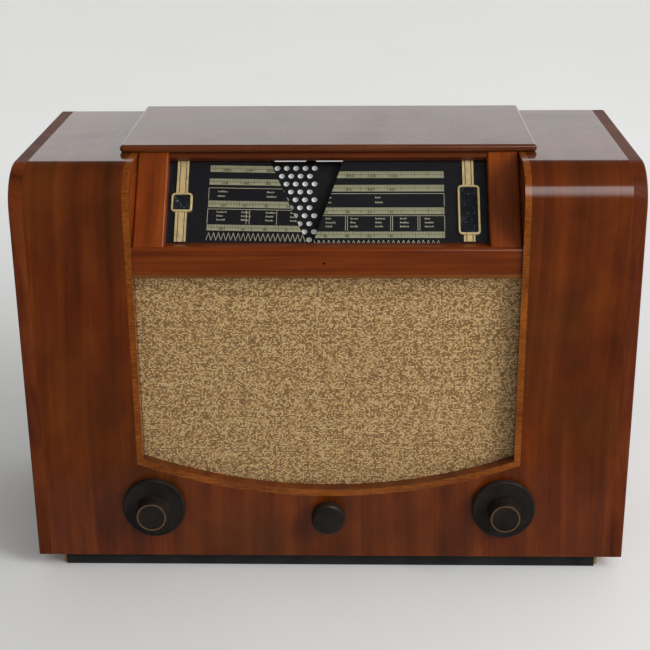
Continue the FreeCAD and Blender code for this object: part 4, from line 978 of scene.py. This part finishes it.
@dataclass
class DialPrint:
    """Scales, rules, numbers and name lines printed on one pane."""

    layout: PrintLayout
    slope: Slope
    glass_depth: float = 9.2 * MM       # face of the glass below the slope
    film: float = 0.06 * MM             # thickness of each printed layer
    reach: float = 40 * MM              # how far the printing is drawn past the break before it is cut
    rule: float = 0.42 * MM
    tooth: float = 4.3 * MM
    letter: float = 0.98 * MM
    upper_pitch: float = 43 * MM        # between columns of names in the upper box
    lower_pitch: float = 21.5 * MM      # and in the lower box
    figure_start: float = 11 * MM
    figure_pitch: float = 19 * MM

    @property
    def _span(self) -> tuple[float, float]:
        """Left and right ends of the printing before it is cut at the break."""
        middle = self.layout.break_foot[0] - self.layout.side.value * self.reach
        ends = sorted((self.layout.outer, middle))
        return ends[0], ends[1]

    def _block(self, bm: bmesh.types.BMesh, u0: float, u1: float, s0: float, s1: float) -> list:
        """A flat printed block on the pane; gives its vertices."""
        base = -self.glass_depth
        return add_block(bm, Vector((u0, s0, base)), Vector((u1, s1, base + self.film)))

    def _stroke(self, bm: bmesh.types.BMesh, start: Vector, end: Vector) -> None:
        """A thin printed line between two points of the slope."""
        along = end - start
        base = -self.glass_depth + self.film / 2
        middle = (start + end) / 2
        heading = math.atan2(along.y, along.x)
        matrix = (Matrix.Translation((middle.x, middle.y, base)) @ Matrix.Rotation(heading, 4, "Z")
                  @ Matrix.Diagonal((along.length, self.rule, self.film, 1.0)))
        bmesh.ops.create_cube(bm, size=1.0, matrix=matrix)

    def _cut_and_place(self, bm: bmesh.types.BMesh) -> None:
        """Turns the printing with its pane, cuts it at the break, and lays it on the slope."""
        pivot = Vector((self.layout.outer, self.layout.strips[1][0], 0))
        bmesh.ops.rotate(bm, cent=pivot, matrix=Matrix.Rotation(self.layout.turn, 3, "Z"), verts=bm.verts)
        top, foot = Vector((*self.layout.break_top, 0)), Vector((*self.layout.break_foot, 0))
        edge = (top - foot).normalized()
        outward = Vector((-edge.y, edge.x, 0)) * -1.0
        if self.layout.side is Side.RIGHT:
            outward = -outward
        cut = bmesh.ops.bisect_plane(bm, geom=bm.verts[:] + bm.edges[:] + bm.faces[:],
                                     plane_co=foot - outward * 0.3 * MM, plane_no=outward, clear_outer=True)
        edges = [item for item in cut["geom_cut"] if isinstance(item, bmesh.types.BMEdge)]
        bmesh.ops.holes_fill(bm, edges=edges, sides=0)
        self.slope.place(bm)

    def _scales(self) -> bmesh.types.BMesh:
        """The pale scale strips, with their UV map."""
        bm = bmesh.new()
        uv = bm.loops.layers.uv.new("scale")
        left, right = self._span
        for low, high in self.layout.strips:
            verts = self._block(bm, left, right, low, high)
            for face in {face for vert in verts for face in vert.link_faces}:
                for loop in face.loops:
                    loop[uv].uv = (loop.vert.co.x, (loop.vert.co.y - low) / (high - low))
        return bm

    def _rules(self) -> bmesh.types.BMesh:
        """Frames of the two name boxes, their dividers, and the row of zigzags."""
        bm = bmesh.new()
        left, right = self._span
        half = self.rule / 2
        for low, high in (self.layout.upper_box, self.layout.lower_box):
            self._block(bm, left, right, high - self.rule, high)
            self._block(bm, self.layout.outer - half, self.layout.outer + half, low, high)
        low, high = self.layout.lower_box
        for u in self.layout.dividers:
            self._block(bm, u - half, u + half, low, high)
        low, high = self.layout.zigzag
        for i in range(int((right - left) / self.tooth)):
            foot = Vector((left + i * self.tooth, low))
            peak = Vector((foot.x + self.tooth / 2, high))
            self._stroke(bm, foot, peak)
            self._stroke(bm, peak, Vector((foot.x + self.tooth, low)))
        return bm

    def _name_lines(self) -> bmesh.types.BMesh:
        """Rows of short upright strokes that stand for names."""
        bm = bmesh.new()
        rng = random.Random(11 + self.layout.side.value)
        left, right = self._span
        low, high = self.layout.upper_box
        for start in self._columns(left, right, self.upper_pitch):
            for row in (0.62, 0.24):
                self._word(bm, rng, start, low + (high - low) * row, rng.randint(5, 9))
        low, high = self.layout.lower_box
        for start in self._columns(left, right, self.lower_pitch):
            for row in (0.74, 0.48, 0.22):
                self._word(bm, rng, start, low + (high - low) * row, rng.randint(5, 9))
        return bm

    @staticmethod
    def _columns(left: float, right: float, pitch: float) -> list[float]:
        """Left ends of evenly spaced columns of names."""
        return [left + 8 * MM + i * pitch for i in range(int((right - left) / pitch))]

    def _word(self, bm: bmesh.types.BMesh, rng: random.Random, u: float, s: float, letters: int) -> None:
        """One row of strokes, the first one taller."""
        for i in range(letters):
            tall = 1.7 * MM if i == 0 or rng.random() < 0.3 else 1.15 * MM
            wide = rng.uniform(0.4, 0.62) * MM
            self._block(bm, u + i * self.letter, u + i * self.letter + wide, s, s + tall)

    def _numbers(self) -> bmesh.types.BMesh:
        """Generic figures along each scale."""
        bm = bmesh.new()
        left, right = self._span
        values = (("2000", "1500", "1000"), ("550", "400", "300"), ("50", "30", "20"), ("80", "60", "40"))
        for (low, high), row in zip(self.layout.strips, values):
            for i, text in enumerate(row * 2):
                at = left + self.figure_start + i * self.figure_pitch
                self._text(bm, text, at, low + (high - low) * 0.10, (high - low) * 0.44)
        return bm

    def _text(self, bm: bmesh.types.BMesh, text: str, u: float, s: float, height: float) -> None:
        """Adds one printed figure, turned into a mesh first."""
        curve = bpy.data.curves.new("figure", "FONT")
        curve.body = text
        curve.size = height * 1.35
        curve.offset = 0.04 * MM
        curve.extrude = self.film / 2
        helper = bpy.data.objects.new("figure", curve)
        bpy.context.scene.collection.objects.link(helper)
        bpy.context.view_layer.update()
        mesh = bpy.data.meshes.new_from_object(helper.evaluated_get(bpy.context.evaluated_depsgraph_get()))
        mesh.transform(Matrix.Translation((u, s, -self.glass_depth + self.film * 1.6)))
        bm.from_mesh(mesh)
        bpy.data.objects.remove(helper)
        bpy.data.curves.remove(curve)
        bpy.data.meshes.remove(mesh)

    def build(self, strip: bpy.types.Material, line: bpy.types.Material, ink: bpy.types.Material) -> None:
        """Makes the printed pieces.

        Args:
            strip: finish of the pale scales.
            line: finish of the rules and name lines.
            ink: finish of the figures.
        """
        side = self.layout.side.name.lower()
        layers = (("scales", self._scales(), strip), ("rules", self._rules(), line),
                  ("names", self._name_lines(), line), ("figures", self._numbers(), ink))
        for word, bm, material in layers:
            self._cut_and_place(bm)
            publish(bm, f"dial_{word}_{side}", "cabinet", material)


@dataclass
class Dial:
    """Broken glass dial with its bars, windows, plate and lamps."""

    slope: Slope
    backing: Moulded = Moulded("black_tinplate", (0.006, 0.006, 0.006), roughness=0.6, mottle=0.2, dust=0.03,
                               shine=0.1)
    pale_print: Moulded = Moulded("pale_print", (0.42, 0.40, 0.28), roughness=0.4, mottle=0.25, dust=0.0)
    dark_print: Moulded = Moulded("dark_print", (0.02, 0.02, 0.012), roughness=0.4, mottle=0.2, dust=0.0)
    pointer: Moulded = Moulded("pointer_enamel", (0.35, 0.03, 0.015), roughness=0.35, mottle=0.2)

    def build(self) -> None:
        """Dresses the dial's nodes and prints both panes."""
        dress(["dial_panes"], PaintedGlass().material())
        dress(["escutcheons"], Gilt(self.slope).material())
        dress(["window_lenses"], WindowGlass().material())
        dress(["dial_backplate"], self.backing.material())
        dress(["diffuser_card"], SpotCard(self.slope).material())
        dress(["dial_pointer"], self.pointer.material())
        strip, line, ink = ScaleStrip().material(), self.pale_print.material(), self.dark_print.material()
        for layout in (LEFT_PRINT, RIGHT_PRINT):
            DialPrint(layout, self.slope).build(strip, line, ink)


@dataclass
class Controls:
    """Knobs, rings and the shafts they turn."""

    bakelite: Moulded = Moulded("knob_bakelite", (0.0135, 0.0092, 0.0072), roughness=0.34,
                                mottle=0.35, dust=0.08, grain_size=0.7 * MM, depth=0.02 * MM, shine=0.22)
    ring: Metal = Metal("ring_brass", (0.80, 0.47, 0.25), (0.34, 0.19, 0.10), roughness=0.34, aged=0.5)
    steel: Metal = Metal("shaft_steel", (0.45, 0.44, 0.42), (0.16, 0.11, 0.07), roughness=0.3, aged=0.35)
    brass: Metal = Metal("turned_brass", (0.63, 0.46, 0.2), (0.25, 0.16, 0.07), roughness=0.3, aged=0.5)
    plated: Metal = Metal("zinc_plate", (0.5, 0.49, 0.46), (0.3, 0.28, 0.24), roughness=0.42, aged=0.6)

    def dress(self) -> None:
        """Finishes everything that the hand or the shafts turn."""
        dress(["volume_knob", "tone_knob", "fine_tuning_knob", "fast_tuning_knob", "wave_knob"],
              self.bakelite.material())
        dress(["volume_ring", "fine_tuning_ring"], self.ring.material())
        dress(["volume_shaft", "fine_tuning_shaft", "wave_shaft", "pointer_rod", "rear_cover_screws",
               "chassis_bolts"], self.steel.material())
        dress(["tone_sleeve", "fast_tuning_sleeve", "tuning_bearings", "pulley_left", "pulley_right"],
              self.brass.material())
        dress(["wave_switch", "dual_control", "pulley_bar", "dial_lamps", "speaker_frame"],
              self.plated.material())
        dress(["pointer_cord", "drive_cord"], BraidedCord().material())
        LOG.info("controls dressed")


@dataclass
class Works:
    """Chassis, valves, gang and loudspeaker inside the case."""

    chassis: Metal = Metal("passivated_chassis", (0.42, 0.40, 0.32), (0.24, 0.2, 0.13),
                           roughness=0.5, aged=0.7)
    alloy: Metal = Metal("cast_alloy", (0.5, 0.5, 0.5), (0.3, 0.3, 0.29), roughness=0.5, aged=0.5)
    aluminium: Metal = Metal("rolled_aluminium", (0.62, 0.63, 0.64), (0.4, 0.4, 0.39),
                             roughness=0.38, aged=0.45)
    nickel: Metal = Metal("valve_nickel", (0.28, 0.27, 0.26), (0.08, 0.075, 0.07), roughness=0.45, aged=0.7)
    bases: Moulded = Moulded("valve_base", (0.035, 0.018, 0.01), roughness=0.3, mottle=0.3)
    strip: Moulded = Moulded("socket_paxolin", (0.15, 0.07, 0.025), roughness=0.45, mottle=0.3)
    rubber: Moulded = Moulded("gland_rubber", (0.02, 0.02, 0.019), roughness=0.7, mottle=0.3, dust=0.2)
    stack_foot: float = 26 * MM         # of the mains transformer's iron, above its lowest point
    stack_top: float = 52 * MM

    def dress(self) -> None:
        """Finishes the chassis and all that stands on it."""
        dress(["chassis"], self.chassis.material())
        dress(["tuning_drum", "speaker_magnet"], self.alloy.material())
        dress(["gang_rotor", "gang_frame", "if_transformer_cans", "smoothing_capacitors"],
              self.aluminium.material())
        dress(["valve_electrodes"], self.nickel.material())
        dress(["valve_bases_and_sockets"], self.bases.material())
        dress(["valve_glass"], ClearGlass("valve_glass_clear").material())
        dress(["socket_strip"], self.strip.material())
        dress(["mains_gland"], self.rubber.material())
        dress(["rear_cover"], FibreBoard().material())
        low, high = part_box("speaker_cone")
        dress(["speaker_cone"], ConePaper(center_z=(low.z + high.z) / 2).material())
        self._dress_transformers()
        LOG.info("works dressed")

    def _dress_transformers(self) -> None:
        """Finishes the two transformers, each with its own stack height."""
        low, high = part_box("mains_transformer")
        stack_low = low + Vector((0, 0, self.stack_foot))
        stack_high = low + Vector((high.x - low.x, high.y - low.y, self.stack_top))
        mains = Laminations("mains_laminations", tuple(stack_low), tuple(stack_high))
        dress(["mains_transformer"], mains.material())
        low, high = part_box("output_transformer")
        dress(["output_transformer"], Laminations("output_laminations", tuple(low), tuple(high)).material())


@dataclass
class Studio:
    """Camera, pale floor and soft light."""

    lens: float = 77.12
    sensor: float = 36.0
    beside: float = 29.84 * MM          # camera right of the middle
    in_front: float = 1132.25 * MM      # camera in front of the front panel's face
    height: float = 668.66 * MM
    pitch: float = math.radians(20.666)
    turn: float = math.radians(1.595)
    roll: float = math.radians(-0.499)
    floor_reach: float = 9.0
    table_glow: float = 0.17            # table near the radio, as its lacquer mirrors it
    diffuse_sides: tuple[float, float] = (0.08, 0.98)      # light from the left and from the right
    backdrop: float = 0.93
    dark_room: float = 0.012
    high_window: float = 6.0            # seen only in the right-hand roll

    def build(self) -> None:
        """Makes the camera, floor, world and lamp."""
        self._camera()
        self._floor()
        self._world()
        self._lamp("window_right", (1.60, -1.00, 1.15), (0.0, 0.0, 0.2), 1.0, 28.0)
        bpy.context.scene.view_settings.view_transform = "Standard"

    def _camera(self) -> None:
        """Places the camera."""
        data = bpy.data.cameras.new("view")
        data.lens, data.sensor_width = self.lens, self.sensor
        camera = bpy.data.objects.new("view", data)
        eye = (self.beside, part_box("front_panel")[0].y - self.in_front, self.height)
        camera.matrix_world = (Matrix.Translation(eye) @ Matrix.Rotation(self.turn, 4, "Z")
                               @ Matrix.Rotation(math.pi / 2 - self.pitch, 4, "X")
                               @ Matrix.Rotation(self.roll, 4, "Z"))
        bpy.context.scene.collection.objects.link(camera)
        bpy.context.scene.camera = camera

    def _floor_material(self) -> bpy.types.Material:
        """Pale matt paper with faint clouds, and a painted glow that grows towards the back and a little to
        the right.
        """
        shader = Shader("pale_floor")
        x, y, _ = shader.place()
        cloud = shader.noise(x * 3.0, y * 3.0, 0.0, 3.0)
        color = shader.mix(cloud.rise(0.3, 0.75), (0.80, 0.802, 0.80), (0.77, 0.772, 0.768))
        # painted light on the floor: a glow, weakest at the front, that grows towards the back
        fade = y.rise(0.0, 1.6) * 0.8 + x.rise(-0.7, 0.7) * 0.05 + 0.13
        glow = shader.mix(fade, (0.0, 0.0, 0.0), (0.30, 0.30, 0.295))
        return shader.surface({
            "Base Color": color,
            "Roughness": cloud * 0.1 + 0.75,
            "Specular IOR Level": 0.2,
            "Emission Color": glow,
            "Emission Strength": 1.0,
        })

    def _floor(self) -> None:
        """Lays the floor; the lacquer mirrors the world in its stead."""
        bm = bmesh.new()
        bmesh.ops.create_grid(bm, x_segments=1, y_segments=1, size=self.floor_reach)
        mesh = bpy.data.meshes.new("floor")
        bm.to_mesh(mesh)
        bm.free()
        mesh.materials.append(self._floor_material())
        floor = bpy.data.objects.new("floor", mesh)
        bpy.context.scene.collection.objects.link(floor)
        floor.visible_glossy = False

    def _world(self) -> None:
        """Soft light all round, strongest from the right; only the backdrop shows in the lacquer."""
        world = bpy.data.worlds.new("studio")
        bpy.context.scene.world = world
        world.use_nodes = True
        tree = world.node_tree
        tree.nodes.clear()

        def add(kind: str, settings: dict, *values: object) -> bpy.types.NodeSocket:
            """Adds one node with its inputs in order and gives its first output."""
            made = tree.nodes.new(kind)
            for name, value in settings.items():
                setattr(made, name, value)
            for socket, value in zip(made.inputs, values):
                if isinstance(value, bpy.types.NodeSocket):
                    tree.links.new(value, socket)
                elif value is not None:
                    socket.default_value = value
            return made.outputs[0]

        direction = tree.nodes.new("ShaderNodeTexCoord").outputs["Generated"]
        split = tree.nodes.new("ShaderNodeSeparateXYZ")
        tree.links.new(direction, split.inputs[0])
        x, y, z = split.outputs

        def fade(*values: object) -> bpy.types.NodeSocket:
            """Goes smoothly between two values: the input, where it starts and ends, and both values."""
            return add("ShaderNodeMapRange", {"interpolation_type": "SMOOTHSTEP"}, *values)

        def times(first: bpy.types.NodeSocket, second: bpy.types.NodeSocket | float) -> bpy.types.NodeSocket:
            """Product of two."""
            return add("ShaderNodeMath", {"operation": "MULTIPLY"}, first, second)

        def plus(first: bpy.types.NodeSocket, second: bpy.types.NodeSocket | float) -> bpy.types.NodeSocket:
            """Sum of two."""
            return add("ShaderNodeMath", {"operation": "ADD"}, first, second)

        sideways = add("ShaderNodeMapRange", {}, x, -1.0, 1.0, *self.diffuse_sides)
        behind = fade(y, 0.15, 0.45, 0.0, self.backdrop)
        low_down = fade(z, 0.33, 0.43, 1.0, 0.0)
        table = fade(z, -0.435, -0.455, 0.0, self.table_glow)
        mirrored = plus(plus(times(behind, low_down), self.dark_room), table)
        window = fade(z, 0.36, 0.66, 0.0, 1.0)
        for socket, start, end in ((z, 0.84, 0.76), (x, 0.05, 0.11), (y, 0.0, -0.1)):
            window = times(window, fade(socket, start, end, 0.0, 1.0))
        mirrored = plus(mirrored, times(window, self.high_window))
        glossy = tree.nodes.new("ShaderNodeLightPath").outputs["Is Glossy Ray"]
        strength = add("ShaderNodeMix", {"data_type": "FLOAT"}, glossy, None, sideways, mirrored)
        light = add("ShaderNodeBackground", {}, (1.0, 1.0, 0.99, 1.0), strength)
        output = tree.nodes.new("ShaderNodeOutputWorld")
        tree.links.new(light, output.inputs[0])

    @staticmethod
    def _lamp(name: str, place: tuple, target: tuple, size: float, watts: float) -> None:
        """Hangs one square area lamp that faces its target.

        Args:
            name: the lamp's name.
            place: where it hangs.
            target: the point it faces.
            size: side of the square, in metres.
            watts: its power.
        """
        data = bpy.data.lights.new(name, "AREA")
        data.size, data.energy = size, watts
        lamp = bpy.data.objects.new(name, data)
        lamp.visible_glossy = False
        lamp.location = place
        lamp.rotation_mode = "QUATERNION"
        lamp.rotation_quaternion = (Vector(target) - Vector(place)).to_track_quat("-Z", "Y")
        bpy.context.scene.collection.objects.link(lamp)


def main() -> None:
    """Builds the radio's looks in order."""
    logging.basicConfig(level=logging.INFO, format="%(name)s: %(message)s")
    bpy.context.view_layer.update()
    Cabinet().dress()
    Grille().build()
    Dial(Slope()).build()
    Controls().dress()
    Works().dress()
    Studio().build()


if __name__ == "__main__":
    main()
